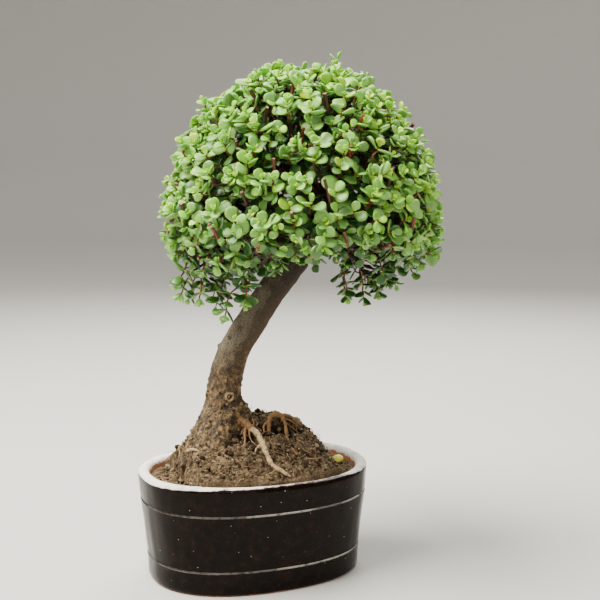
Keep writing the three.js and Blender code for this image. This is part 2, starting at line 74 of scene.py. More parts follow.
def linear(hex_colour: str) -> tuple[float, float, float, float]:
    """Turns an sRGB hex colour to linear light.

    Args:
        hex_colour: Six hex digits after a hash sign.

    Returns:
        Red, green, blue and an alpha of one.
    """
    parts = [int(hex_colour[i : i + 2], 16) / 255 for i in (1, 3, 5)]
    red, green, blue = (c / 12.92 if c <= 0.04045 else ((c + 0.055) / 1.055) ** 2.4 for c in parts)
    return red, green, blue, 1.0


def smoothstep(low: float, high: float, value: float) -> float:
    """Rises softly from 0 at low to 1 at high.

    Args:
        low: Where the rise begins.
        high: Where it ends.
        value: The place asked for.

    Returns:
        A number from 0 to 1.
    """
    t = min(1.0, max(0.0, (value - low) / (high - low)))
    return t * t * (3 - 2 * t)


def bell(distance: float, width: float) -> float:
    """A bell curve that is 1 at no distance."""
    return math.exp(-((distance / width) ** 2))


def grain(place: Sequence[float], size: float) -> float:
    """Smooth noise from about -1 to 1, whose lumps are about one size wide.

    Args:
        place: A point in millimetres.
        size: The width of a lump in millimetres.

    Returns:
        The noise there.
    """
    return noise.noise(Vector(place) / size)


def ring_angles(sides: int) -> list[float]:
    """The angles of evenly spaced points round a ring."""
    return [2 * math.pi * j / sides for j in range(sides)]


def set_attribute(mesh: bpy.types.Mesh, name: str, values: Sequence[float]) -> None:
    """Gives each vertex a number, which the finish reads by its name."""
    attribute = mesh.attributes.new(name, "FLOAT", "POINT")
    attribute.data.foreach_set("value", np.asarray(values, np.float32))


def deselect() -> None:
    """Leaves edit mode and deselects everything."""
    if bpy.context.mode != "OBJECT":
        bpy.ops.object.mode_set(mode="OBJECT")
    bpy.ops.object.select_all(action="DESELECT")


def select_only(pieces: Sequence[bpy.types.Object]) -> None:
    """Selects these objects alone, the first one active."""
    deselect()
    for piece in pieces:
        piece.select_set(True)
    bpy.context.view_layer.objects.active = pieces[0]


def smooth_line(points: Sequence[Sequence[float]], count: int) -> np.ndarray:
    """Evenly spaced points on a smooth curve through the points given.

    Args:
        points: The points that the curve passes through.
        count: How many points to return.

    Returns:
        An array of count points.
    """
    known = np.asarray(points, float)
    padded = np.vstack([2 * known[0] - known[1], known, 2 * known[-1] - known[-2]])
    dense = []
    for i in range(len(known) - 1):
        p0, p1, p2, p3 = padded[i : i + 4]
        for t in np.linspace(0, 1, 24, endpoint=False):
            linear_part = 2 * p1 + (p2 - p0) * t
            square = (2 * p0 - 5 * p1 + 4 * p2 - p3) * t**2
            cube = (3 * p1 - p0 - 3 * p2 + p3) * t**3
            dense.append(0.5 * (linear_part + square + cube))
    line = np.vstack([dense, known[-1:]])
    steps = np.linalg.norm(np.diff(line, axis=0)[:, :3], axis=1)
    reach = np.concatenate([[0], np.cumsum(steps)])
    wanted = np.linspace(0, reach[-1], count)
    return np.stack([np.interp(wanted, reach, line[:, k]) for k in range(line.shape[1])], axis=1)


def sweep(line: np.ndarray, radius: Callable[[float, float], float], sides: int) -> np.ndarray:
    """Rings of round section along a line.

    Args:
        line: The points of the centre line.
        radius: The radius at a share of the length and an angle round it.
        sides: Points in a ring.

    Returns:
        An array of rings, the first and the last drawn in to a point.
    """
    tangents = np.gradient(line, axis=0)
    tangents /= np.linalg.norm(tangents, axis=1)[:, None]
    side = np.array([0.0, -1.0, 0.0]) if abs(tangents[0][1]) < 0.8 else np.array([1.0, 0.0, 0.0])
    angles = ring_angles(sides)
    rings = [np.repeat(line[:1], sides, axis=0)]
    for i, (centre, tangent) in enumerate(zip(line, tangents)):
        side = side - tangent * side.dot(tangent)
        side /= np.linalg.norm(side)
        up = np.cross(tangent, side)
        share = i / (len(line) - 1)
        reaches = [radius(share, angle) for angle in angles]
        turned = [math.cos(a) * side + math.sin(a) * up for a in angles]
        rings.append(np.array([centre + r * way for r, way in zip(reaches, turned)]))
    rings.append(np.repeat(line[-1:], sides, axis=0))
    return np.array(rings)


def column(offsets: Sequence[Pair], radii: Sequence[float], sides: int) -> np.ndarray:
    """Level rings stacked along Z over one millimetre, with both ends closed.

    Args:
        offsets: How far each ring's middle lies from the axis.
        radii: Each ring's radius.
        sides: Points in a ring.

    Returns:
        An array of rings, the first and the last drawn in to a point.
    """
    rings = []
    last = len(offsets) - 1
    for i, ((x, y), radius) in enumerate(zip(offsets, radii)):
        level = [(x + radius * math.cos(a), y + radius * math.sin(a)) for a in ring_angles(sides)]
        rings.append([(*point, i / last) for point in level])
    start, end = [(*offsets[0], 0.0)] * sides, [(*offsets[-1], 1.0)] * sides
    return np.array([start, *rings, end])


def skin(name: str, rings: np.ndarray, crease: float = 60) -> bpy.types.Object:
    """Rolls a grid up through rings of points and closes its seam and its ends.

    Args:
        name: The piece's name.
        rings: Rings of points in millimetres. A ring drawn in to a point closes an end.
        crease: Angle in degrees above which an edge stays sharp.

    Returns:
        The new piece.
    """
    rows, sides = rings.shape[:2]
    deselect()
    bpy.ops.mesh.primitive_grid_add(x_subdivisions=sides, y_subdivisions=rows - 1, size=2)
    piece = bpy.context.object
    piece.name = piece.data.name = name
    closed = np.concatenate([rings, rings[:, :1]], axis=1) * MM
    piece.data.vertices.foreach_set("co", closed.astype(np.float32).ravel())
    bpy.ops.object.mode_set(mode="EDIT")
    bpy.ops.mesh.select_all(action="SELECT")
    bpy.ops.mesh.remove_doubles(threshold=0.001 * MM)
    bpy.ops.mesh.normals_make_consistent(inside=False)
    bpy.ops.object.mode_set(mode="OBJECT")
    bpy.ops.object.shade_smooth_by_angle(angle=math.radians(crease))
    return piece


def joined(name: str, pieces: Sequence[bpy.types.Object]) -> bpy.types.Object:
    """Joins the pieces into one object.

    Args:
        name: The name of the result.
        pieces: At least one object.

    Returns:
        The first object, which then holds them all.
    """
    select_only(pieces)
    if len(pieces) > 1:
        bpy.ops.object.join()
    whole = bpy.context.object
    whole.name = whole.data.name = name
    return whole


def modify(piece: bpy.types.Object, kind: str, **settings: object) -> None:
    """Adds a modifier to a piece and applies it.

    Args:
        piece: The piece to change.
        kind: The modifier's type.
        settings: The modifier's own settings.
    """
    select_only([piece])
    bpy.ops.object.modifier_add(type=kind)
    modifier = piece.modifiers[-1]
    for setting, value in settings.items():
        setattr(modifier, setting, value)
    bpy.ops.object.modifier_apply(modifier=modifier.name)


def move_points(piece: bpy.types.Object, rule: Callable[[Vector, Vector], Vector]) -> None:
    """Moves every vertex of a piece by a rule.

    Args:
        piece: The piece to change.
        rule: Gives the new place in millimetres from the place in millimetres and the normal.
    """
    mesh = piece.data
    normals = [vertex.normal.copy() for vertex in mesh.vertices]
    for vertex, normal in zip(mesh.vertices, normals):
        vertex.co = rule(vertex.co / MM, normal) * MM
    mesh.update()


@dataclass
class Copy:
    """One placed copy of a template mesh.

    Args:
        template: The mesh that is copied.
        place: Turns and moves it, in millimetres.
        tone: A number from 0 to 1 that the finish reads.
    """

    template: bpy.types.Mesh
    place: Matrix
    tone: float = 0.5

    def made(self) -> bpy.types.Object:
        """Makes the copy as an object with its own mesh."""
        mesh = self.template.copy()
        moved = self.place.copy()
        moved.translation = moved.translation * MM
        mesh.transform(moved)
        set_attribute(mesh, "tone", [self.tone] * len(mesh.vertices))
        piece = bpy.data.objects.new("copy", mesh)
        bpy.context.scene.collection.objects.link(piece)
        return piece


def placed(name: str, copies: Iterable[Copy]) -> bpy.types.Object:
    """Makes all the copies and joins them into one piece."""
    return joined(name, [copy.made() for copy in copies])


def template_from(piece: bpy.types.Object) -> bpy.types.Mesh:
    """Keeps a modelled piece's mesh to copy from, and takes the object away."""
    mesh = piece.data
    bpy.data.objects.remove(piece)
    return mesh


def aimed(start: Vector, axis: Vector, turn: float, width: float, length: float) -> Matrix:
    """Places a shape that stands along Z so that it starts at a point and points along an axis.

    Args:
        start: Where it starts, in millimetres.
        axis: The way it points.
        turn: Turn round the axis, in radians.
        width: Scale across the axis.
        length: Scale along the axis.

    Returns:
        The placing matrix.
    """
    turned = axis.to_track_quat("Z", "Y").to_matrix().to_4x4() @ Matrix.Rotation(turn, 4, "Z")
    return Matrix.Translation(start) @ turned @ Matrix.Diagonal((width, width, length, 1.0))


def hand_over(
    piece: bpy.types.Object, slot: str, nodes: Sequence[str], finish: bpy.types.Material
) -> None:
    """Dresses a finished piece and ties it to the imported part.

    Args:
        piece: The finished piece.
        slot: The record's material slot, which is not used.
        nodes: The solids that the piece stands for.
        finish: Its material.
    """
    piece.data.materials.clear()
    piece.data.materials.append(finish)
    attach(piece, "root")
    if nodes:
        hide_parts(*nodes)
    LOG.info("%s: %d faces", piece.name, len(piece.data.polygons))


# Finishes


def feed(node: bpy.types.Node, sockets: Sockets) -> None:
    """Sets or links the inputs of a shader node.

    Args:
        node: The node that takes them.
        sockets: For each input a value, a hex colour, an output, or a node for its first output.
    """
    named = sockets if isinstance(sockets, dict) else dict(enumerate(sockets))
    for socket, value in named.items():
        if isinstance(value, bpy.types.Node):
            value = value.outputs[0]
        if isinstance(value, bpy.types.NodeSocket):
            node.id_data.links.new(value, node.inputs[socket])
        else:
            node.inputs[socket].default_value = linear(value) if isinstance(value, str) else value


def add_node(
    tree: bpy.types.NodeTree, kind: str, sockets: Sockets = (), **settings: object
) -> bpy.types.Node:
    """Adds a shader node with its settings and links.

    In their order, the inputs of MapRange are a value, the range that it is read in and the
    range that it is turned to, and those of MixRGB are a share and two colours.

    Args:
        tree: The material's node tree.
        kind: The node's type, without the common beginning.
        sockets: What its inputs take, as for feed.
        settings: The node's own settings. "stops" fills a colour ramp with places and hex colours.

    Returns:
        The new node.
    """
    node = tree.nodes.new("ShaderNode" + kind)
    stops = settings.pop("stops", ())
    for setting, value in settings.items():
        setattr(node, setting, value)
    if stops:
        elements = node.color_ramp.elements
        while len(elements) < len(stops):
            elements.new(1.0)
        for element, (place, colour) in zip(elements, stops):
            element.position = place
            element.color = linear(colour)
    feed(node, sockets)
    return node


def new_material(name: str) -> tuple[
    bpy.types.Material, Callable[..., bpy.types.Node], bpy.types.Node
]:
    """Starts a material with its main shader.

    Args:
        name: What the finish is.

    Returns:
        The material, add_node for its own tree, and its Principled shader.
    """
    material = bpy.data.materials.new(name)
    material.use_nodes = True
    tree = material.node_tree
    return material, partial(add_node, tree), tree.nodes["Principled BSDF"]


@dataclass(frozen=True)
class LeafFinish:
    """Grown succulent leaf, waxed: satin green, paler at its margin, glowing against light."""

    name: str = "jade_leaf_wax"
    young: str = "#BEDC2C"
    middle: str = "#82C036"
    grown: str = "#86BA58"
    # The darkest green is painted shade, for leaves low on or deep inside the crown
    painted_shade: str = "#225411"
    margin: str = "#BBD86A"
    foot: str = "#AFC23C"
    blotch_size: float = 4.0
    wax_size: float = 1.5
    dimple_size: float = 0.8
    relief: float = 0.15

    def build(self) -> bpy.types.Material:
        """Builds the leaf's material.

        Returns:
            The material.
        """
        material, add, surface = new_material(self.name)
        coordinates = add("TexCoord")
        place = coordinates.outputs["Object"]
        blade = add("SeparateXYZ", (coordinates.outputs["UV"],))
        tone = add("Attribute", attribute_name="tone")
        # Tones run from the young tip leaves over grown ones to a dark green, which is painted shade
        # on leaves low on or deep inside the crown
        colours = [(0.0, self.young), (0.3, self.middle), (0.65, self.grown), (1.0, self.painted_shade)]
        base = add("ValToRGB", (tone.outputs["Fac"],), stops=colours)
        # Blotches, as chlorophyll lies unevenly under the wax
        blotch = add(
            "TexNoise", {"Vector": place, "Scale": 1 / (self.blotch_size * MM), "Detail": 3.0}
        )
        value = add("MapRange", (blotch, 0.0, 1.0, 0.78, 1.22))
        blotchy = add("HueSaturation", {"Color": base, "Value": value})
        # The margin is a thinner, paler line, and the foot of the leaf is yellower
        off_centre = add("Math", (blade.outputs["X"], 0.5), operation="SUBTRACT")
        sideways = add("Math", (off_centre,), operation="ABSOLUTE")
        edge = add("MapRange", (sideways, 0.36, 0.5, 0.0, 0.6))
        foot = add("MapRange", (blade.outputs["Y"], 0.3, 0.02, 0.0, 0.6))
        with_edge = add("MixRGB", (edge, blotchy, self.margin))
        with_foot = add("MixRGB", (foot, with_edge, self.foot))
        wax = add("TexNoise", {"Vector": place, "Scale": 1 / (self.wax_size * MM), "Detail": 2.0})
        roughness = add("MapRange", (wax, 0.0, 1.0, 0.28, 0.48))
        dimples = add("TexNoise", {"Vector": place, "Scale": 1 / (self.dimple_size * MM)})
        bump = add("Bump", {"Height": dimples, "Strength": 0.25, "Distance": self.relief * MM})
        feed(
            surface,
            {
                "Base Color": with_foot, "Roughness": roughness, "IOR": 1.5,
                "Specular IOR Level": 0.5, "Subsurface Weight": 0.45,
                "Subsurface Radius": (0.45, 1.0, 0.1), "Subsurface Scale": 1.8 * MM, "Normal": bump
            }
        )
        return material


@dataclass(frozen=True)
class ShootFinish:
    """Smooth skin of a young jade shoot: glossy red-brown, with paler healed cuts."""

    young: str = "#7A3022"
    old: str = "#2E1B14"
    cut: str = "#9C6A58"
    speckle_size: float = 1.2
    wrinkle_size: float = 0.7
    relief: float = 0.3

    def build(self) -> bpy.types.Material:
        """Builds the shoot's material."""
        material, add, surface = new_material("jade_shoot_bark")
        coordinates = add("TexCoord")
        place = coordinates.outputs["Object"]
        tone = add("Attribute", attribute_name="tone")
        speckle = add(
            "TexNoise", {"Vector": place, "Scale": 1 / (self.speckle_size * MM), "Detail": 4.0}
        )
        mixed = add("Math", (speckle, 0.5), operation="SUBTRACT")
        shifted = add("Math", (mixed, 0.8, tone.outputs["Fac"]), operation="MULTIPLY_ADD")
        stops = [(0.0, self.old), (0.45, "#4E241B"), (0.75, self.young), (1.0, "#96503A")]
        colour = add("ValToRGB", (shifted,), stops=stops)
        # The far end of each stub is a flat cut, healed over to a paler skin
        length = add("SeparateXYZ", (coordinates.outputs["UV"],))
        healed = add("MapRange", (length.outputs["Y"], 0.86, 0.9, 0.0, 0.75))
        ended = add("MixRGB", (healed, colour, self.cut))
        wrinkles = add(
            "TexNoise", {"Vector": place, "Scale": 1 / (self.wrinkle_size * MM), "Detail": 3.0}
        )
        bump = add("Bump", {"Height": wrinkles, "Strength": 0.5, "Distance": self.relief * MM})
        feed(surface, {"Base Color": ended, "Roughness": 0.42, "Normal": bump})
        return material


@dataclass(frozen=True)
class BarkFinish:
    """Bark of an old jade trunk: papery, paler towards the upper left and warm brown on the other
    side, partly weathering and partly painted light and painted shade, dusted.
    """

    # Pale colours for the upper-left side, partly bleaching and partly painted light, and a warm one
    # for the other side, partly painted shade
    bleached_and_lit: str = "#8C7E66"
    grey: str = "#4C3F2C"
    warm_and_shaded: str = "#583919"
    dust: str = "#5F4727"
    dark: str = "#1C130B"
    scar: str = "#CBAB7B"
    dust_height: float = 172.0
    broad_size: float = 9.0
    speckle_size: float = 1.3
    wave_size: float = 5.0
    clot_size: float = 2.6
    patch_size: float = 7.0
    relief: float = 1.2

    def build(self) -> bpy.types.Material:
        """Builds the trunk's material."""
        material, add, surface = new_material("jade_trunk_bark")
        place = add("TexCoord").outputs["Object"]
        facing = add("NewGeometry").outputs["Normal"]
        # The side that faces the upper left, where the key light hangs, is paler and the other side
        # warm brown: partly bleaching, partly painted light and painted shade
        bleach_and_light = add("VectorMath", (facing, (-0.75, -0.1, 0.65)), operation="DOT_PRODUCT")
        broad = add(
            "TexNoise", {"Vector": place, "Scale": 1 / (self.broad_size * MM), "Detail": 5.0}
        )
        mixed = add("Math", (broad, 0.9, bleach_and_light.outputs["Value"]), operation="MULTIPLY_ADD")
        weathered_and_lit = add("MapRange", (mixed, -0.3, 1.65))
        stops = [(0.0, self.warm_and_shaded), (0.45, self.grey), (0.8, self.bleached_and_lit), (1.0, "#B6A98F")]
        skin_colour = add("ValToRGB", (weathered_and_lit,), stops=stops)
        # Lenticels and fine cracks
        speckle = add(
            "TexNoise",
            {
                "Vector": place, "Scale": 1 / (self.speckle_size * MM), "Detail": 6.0,
                "Roughness": 0.7
            }
        )
        cracks = add("MapRange", (speckle, 0.55, 0.36, 0.0, 0.8))
        cracked = add("MixRGB", (cracks, skin_colour, self.dark))
        # Dry soil clings to the lowest part, up to an uneven line
        height = add("SeparateXYZ", (place,))
        wave = add("TexNoise", {"Vector": place, "Scale": 1 / (self.wave_size * MM), "Detail": 6.0})
        line = add("Math", (wave, -34 * MM, height.outputs["Z"]), operation="MULTIPLY_ADD")
        low = add(
            "MapRange", (line, (self.dust_height + 2) * MM, (self.dust_height - 22) * MM, 0.0, 0.85)
        )
        clots = add(
            "TexNoise",
            {"Vector": place, "Scale": 1 / (self.clot_size * MM), "Detail": 8.0, "Roughness": 0.78}
        )
        # It lies thicker in some patches than in others
        patches = add(
            "TexNoise", {"Vector": place, "Scale": 1 / (self.patch_size * MM), "Detail": 4.0}
        )
        caked = add("Math", (patches, 0.6, clots), operation="MULTIPLY_ADD")
        # The darkest dust lies where the clots, which also raise the bump, are low: painted shade in
        # the hollows between them
        dust_stops = [(0.65, self.dark), (0.74, "#372510"), (0.82, self.dust), (0.96, "#9E8052")]
        dust = add("ValToRGB", (caked,), stops=dust_stops)
        colour = add("MixRGB", (low, cracked, dust))
        # Towards the limbs the bark is darkened: painted shade under the crown
        shade = add("MapRange", (height.outputs["Z"], 200 * MM, 262 * MM, 1.0, 0.24))
        darkened = add("HueSaturation", {"Color": colour, "Value": shade})
        # The healed scar is cream-coloured, and the pits, dents and the groove inside the ring are
        # darkened: painted shade
        mark = add("Attribute", attribute_name="mark")
        healed = add("MapRange", (mark.outputs["Fac"], 0.55, 0.9, 0.0, 0.85))
        scarred = add("MixRGB", (healed, darkened, self.scar))
        pit_shade = add("MapRange", (mark.outputs["Fac"], 0.45, 0.1, 0.0, 0.9))
        pitted = add("MixRGB", (pit_shade, scarred, "#150D08"))
        relief = add("Math", (clots, 0.6, speckle), operation="MULTIPLY_ADD")
        bump = add("Bump", {"Height": relief, "Strength": 0.9, "Distance": self.relief * MM})
        feed(surface, {"Base Color": pitted, "Roughness": 0.82, "Normal": bump})
        return material


@dataclass(frozen=True)
class SoilFinish:
    """Dry potting soil, crumbled by hand: matt and tan-brown, with painted shade that darkens its
    pits and low spots.
    """

    # The darkest colours, which the pits and low spots take, are painted shade
    pit_shade: str = "#0F0906"
    dark_soil_and_shade: str = "#35271A"
    dry: str = "#61503A"
    dusty: str = "#9C8868"
    grit_size: float = 1.6
    patch_size: float = 14.0
    relief: float = 1.2

    def build(self) -> bpy.types.Material:
        """Builds the soil's material."""
        material, add, surface = new_material("potting_soil")
        place = add("TexCoord").outputs["Object"]
        tone = add("Attribute", attribute_name="tone")
        grit = add(
            "TexNoise",
            {"Vector": place, "Scale": 1 / (self.grit_size * MM), "Detail": 6.0, "Roughness": 0.7}
        )
        patch = add(
            "TexNoise", {"Vector": place, "Scale": 1 / (self.patch_size * MM), "Detail": 3.0}
        )
        # The tone is low in the pits and low spots of the relief, which darkens them as painted
        # shade; the grit and the patches vary the colour at random
        first = add("Math", (grit, 0.9, tone.outputs["Fac"]), operation="MULTIPLY_ADD")
        second = add("Math", (patch, 0.5, first), operation="MULTIPLY_ADD")
        shade = add("MapRange", (second, 0.82, 1.6))
        stops = [(0.0, self.pit_shade), (0.35, self.dark_soil_and_shade), (0.65, self.dry), (1.0, self.dusty)]
        colour = add("ValToRGB", (shade,), stops=stops)
        bump = add("Bump", {"Height": grit, "Strength": 1.0, "Distance": self.relief * MM})
        feed(
            surface,
            {"Base Color": colour, "Roughness": 0.95, "Specular IOR Level": 0.2, "Normal": bump}
        )
        return material


@dataclass(frozen=True)
class RootFinish:
    """Bare root skin: smooth, pale or orange-brown, with fine cross rings and clinging soil."""

    name: str
    light: str
    dark: str
    mottle_size: float = 2.5
    soil_size: float = 1.2
    relief: float = 0.5

    def build(self) -> bpy.types.Material:
        """Builds the root's material."""
        material, add, surface = new_material(self.name)
        place = add("TexCoord").outputs["Object"]
        mottle = add(
            "TexNoise", {"Vector": place, "Scale": 1 / (self.mottle_size * MM), "Detail": 5.0}
        )
        stops = [(0.3, self.dark), (0.5, self.light), (0.75, self.light)]
        colour = add("ValToRGB", (mottle,), stops=stops)
        soil = add(
            "TexNoise",
            {"Vector": place, "Scale": 1 / (self.soil_size * MM), "Detail": 6.0, "Roughness": 0.7}
        )
        clinging = add("MapRange", (soil, 0.5, 0.62, 0.0, 0.75))
        soiled = add("MixRGB", (clinging, colour, "#4B3523"))
        bump = add("Bump", {"Height": soil, "Strength": 0.5, "Distance": self.relief * MM})
        feed(surface, {"Base Color": soiled, "Roughness": 0.62, "Normal": bump})
        return material


class PotSide(Enum):
    """The two sides of the pot's wall, which are finished differently."""

    OUTSIDE = "outside"
    INSIDE = "inside"


@dataclass(frozen=True)
class PotFinish:
    """Thrown stoneware, dipped in dark brown glaze: glossy, with a wiped bare cream lip."""

    side: PotSide
    glaze: str = "#110804"
    thin_glaze: str = "#2E160D"
    slip: str = "#F7F2EA"
    clay: str = "#B0714C"
    speck: str = "#B8AFA3"
    stain_size: float = 7.0
    fine_size: float = 0.8
    grit_size: float = 3.2
    wear_size: float = 38.0
    break_size: float = 3.0
    wave_size: float = 5.0
    relief: float = 0.5

    def build(self) -> bpy.types.Material:
        """Builds the material of one side of the wall."""
        material, add, surface = new_material("stoneware_" + self.side.value)
        place = add("TexCoord").outputs["Object"]
        height = add("SeparateXYZ", (place,))
        stain = add(
            "TexNoise", {"Vector": place, "Scale": 1 / (self.stain_size * MM), "Detail": 5.0}
        )
        fine = add("TexNoise", {"Vector": place, "Scale": 1 / (self.fine_size * MM), "Detail": 3.0})
        slip = add(
            "ValToRGB", (stain,), stops=[(0.3, "#D6CABB"), (0.5, self.slip), (0.7, "#FAF7F1")]
        )
        if self.side is PotSide.INSIDE:
            # The slip runs a few millimetres down the inner wall, and below it the clay is bare
            line = add("Math", (stain, -9 * MM, height.outputs["Z"]), operation="MULTIPLY_ADD")
            bare = add("MapRange", (line, (POT_HEIGHT - 7.0) * MM, (POT_HEIGHT - 8.6) * MM))
            clay = add(
                "ValToRGB", (fine,), stops=[(0.3, "#8A5234"), (0.55, self.clay), (0.8, "#D2A284")]
            )
            colour = add("MixRGB", (bare, slip, clay))
            bump = add("Bump", {"Height": fine, "Strength": 0.3, "Distance": 0.3 * MM})
            feed(surface, {"Base Color": colour, "Roughness": 0.75, "Normal": bump})
            return material
        # Where the glaze thins it turns red-brown, and the fine specks are grit that it left bare
        dark = add(
            "ValToRGB", (stain,), stops=[(0.35, "#080402"), (0.55, self.glaze), (0.8, "#22120A")]
        )
        grit = add("TexVoronoi", {"Vector": place, "Scale": 1 / (self.grit_size * MM)})
        rarely = add("SeparateColor", (grit.outputs["Color"],))
        chosen = add("Math", (rarely.outputs["Red"], 0.9), operation="GREATER_THAN")
        dot = add("MapRange", (grit.outputs["Distance"], 0.13, 0.07))
        speck = add("Math", (dot, chosen), operation="MULTIPLY")
        specked = add("MixRGB", (speck, dark, self.speck))
        # Slip shows in the grooves where the glaze has worn off, more on some stretches
        patchy = add(
            "TexNoise", {"Vector": place, "Scale": 1 / (self.wear_size * MM), "Detail": 2.0}
        )
        broken = add(
            "TexNoise", {"Vector": place, "Scale": 1 / (self.break_size * MM), "Detail": 4.0}
        )
        patches = add("MapRange", (patchy, 0.42, 0.54, 0.4, 1.0))
        breaks = add("MapRange", (broken, 0.3, 0.5, 0.25, 1.0))
        # The wear is strongest from one place near the middle of the front to the right end
        stretch = add("MapRange", (height.outputs["X"], -31 * MM, -29 * MM, 0.35))
        patched = add("Math", (patches, stretch), operation="MULTIPLY")
        wear = add("Math", (patched, breaks), operation="MULTIPLY")
        colour = specked
        for groove_height in GROOVE_HEIGHTS:
            offset = add("Math", (height.outputs["Z"], groove_height * MM), operation="SUBTRACT")
            distance = add("Math", (offset,), operation="ABSOLUTE")
            near = add("MapRange", (distance, 0.95 * MM, 0.45 * MM))
            worn = add("Math", (near, wear), operation="MULTIPLY")
            colour = add("MixRGB", (worn, colour, "#C4BCB2"))
        # The wiped lip, with a red-brown line where the glaze ends
        sides = add("Math", (height.outputs["X"],), operation="ABSOLUTE")
        lower = add("MapRange", (sides, 50 * MM, 92 * MM, -1.2 * MM, 1.0 * MM))
        wiped_to = add("Math", (height.outputs["Z"], lower), operation="ADD")
        line = add("Math", (stain, 2.2 * MM, wiped_to), operation="MULTIPLY_ADD")
        thin = add("MapRange", (line, (POT_HEIGHT - 1.6) * MM, (POT_HEIGHT - 0.9) * MM))
        lip = add("MapRange", (line, (POT_HEIGHT - 0.9) * MM, (POT_HEIGHT - 0.3) * MM))
        thinned = add("MixRGB", (thin, colour, self.thin_glaze))
        wiped = add("MixRGB", (lip, thinned, slip))
        foot = add("MapRange", (height.outputs["Z"], 1.2 * MM, 0.6 * MM))
        footed = add("MixRGB", (foot, wiped, self.clay))
        gloss = add("MapRange", (stain, 0.3, 0.7, 0.12, 0.28))
        matt = add("Math", (lip, foot), operation="MAXIMUM")
        roughness = add("MapRange", (matt, 0.0, 1.0, gloss, 0.75))
        # The skin of the glaze is slightly wavy, as it ran before it set
        wavy = add("TexNoise", {"Vector": place, "Scale": 1 / (self.wave_size * MM), "Detail": 3.0})
        bump = add("Bump", {"Height": wavy, "Strength": 0.25, "Distance": self.relief * MM})
        feed(
            surface,
            {
                "Base Color": footed, "Roughness": roughness, "IOR": 1.5,
                "Specular IOR Level": 0.09, "Normal": bump
            }
        )
        return material


@dataclass(frozen=True)
class ScreenFinish:
    """Moulded black polyethylene mesh: matt, slightly grey where soil has scuffed it."""

    colour: str = "#1C1D1F"
    scuffed: str = "#4A4540"
    scuff_size: float = 2.0

    def build(self) -> bpy.types.Material:
        """Builds the screens' material."""
        material, add, surface = new_material("moulded_mesh")
        place = add("TexCoord").outputs["Object"]
        scuff = add(
            "TexNoise", {"Vector": place, "Scale": 1 / (self.scuff_size * MM), "Detail": 5.0}
        )
        stops = [(0.5, self.colour), (0.75, self.scuffed)]
        colour = add("ValToRGB", (scuff,), stops=stops)
        feed(surface, {"Base Color": colour, "Roughness": 0.6})
        return material


# The object's parts


@dataclass(frozen=True)
class Oval:
    """The outline of the pot's rim, fuller than an ellipse, which the pot and its soil share."""

    half_length: float = 95.0
    half_width: float = 72.4
    exponent: float = 2.3

    def point(self, angle: float) -> Pair:
        """The point at an angle round an oval of half size 1."""
        cosine, sine = math.cos(angle), math.sin(angle)
        x = math.copysign(abs(cosine) ** (2 / self.exponent), cosine)
        return x, math.copysign(abs(sine) ** (2 / self.exponent), sine)

    def reach(self, x: float, y: float, inset: float) -> float:
        """How far out a place lies, with 1 on the outline drawn in by an inset."""
        along, across = abs(x) / (self.half_length - inset), abs(y) / (self.half_width - inset)
        return along**self.exponent + across**self.exponent


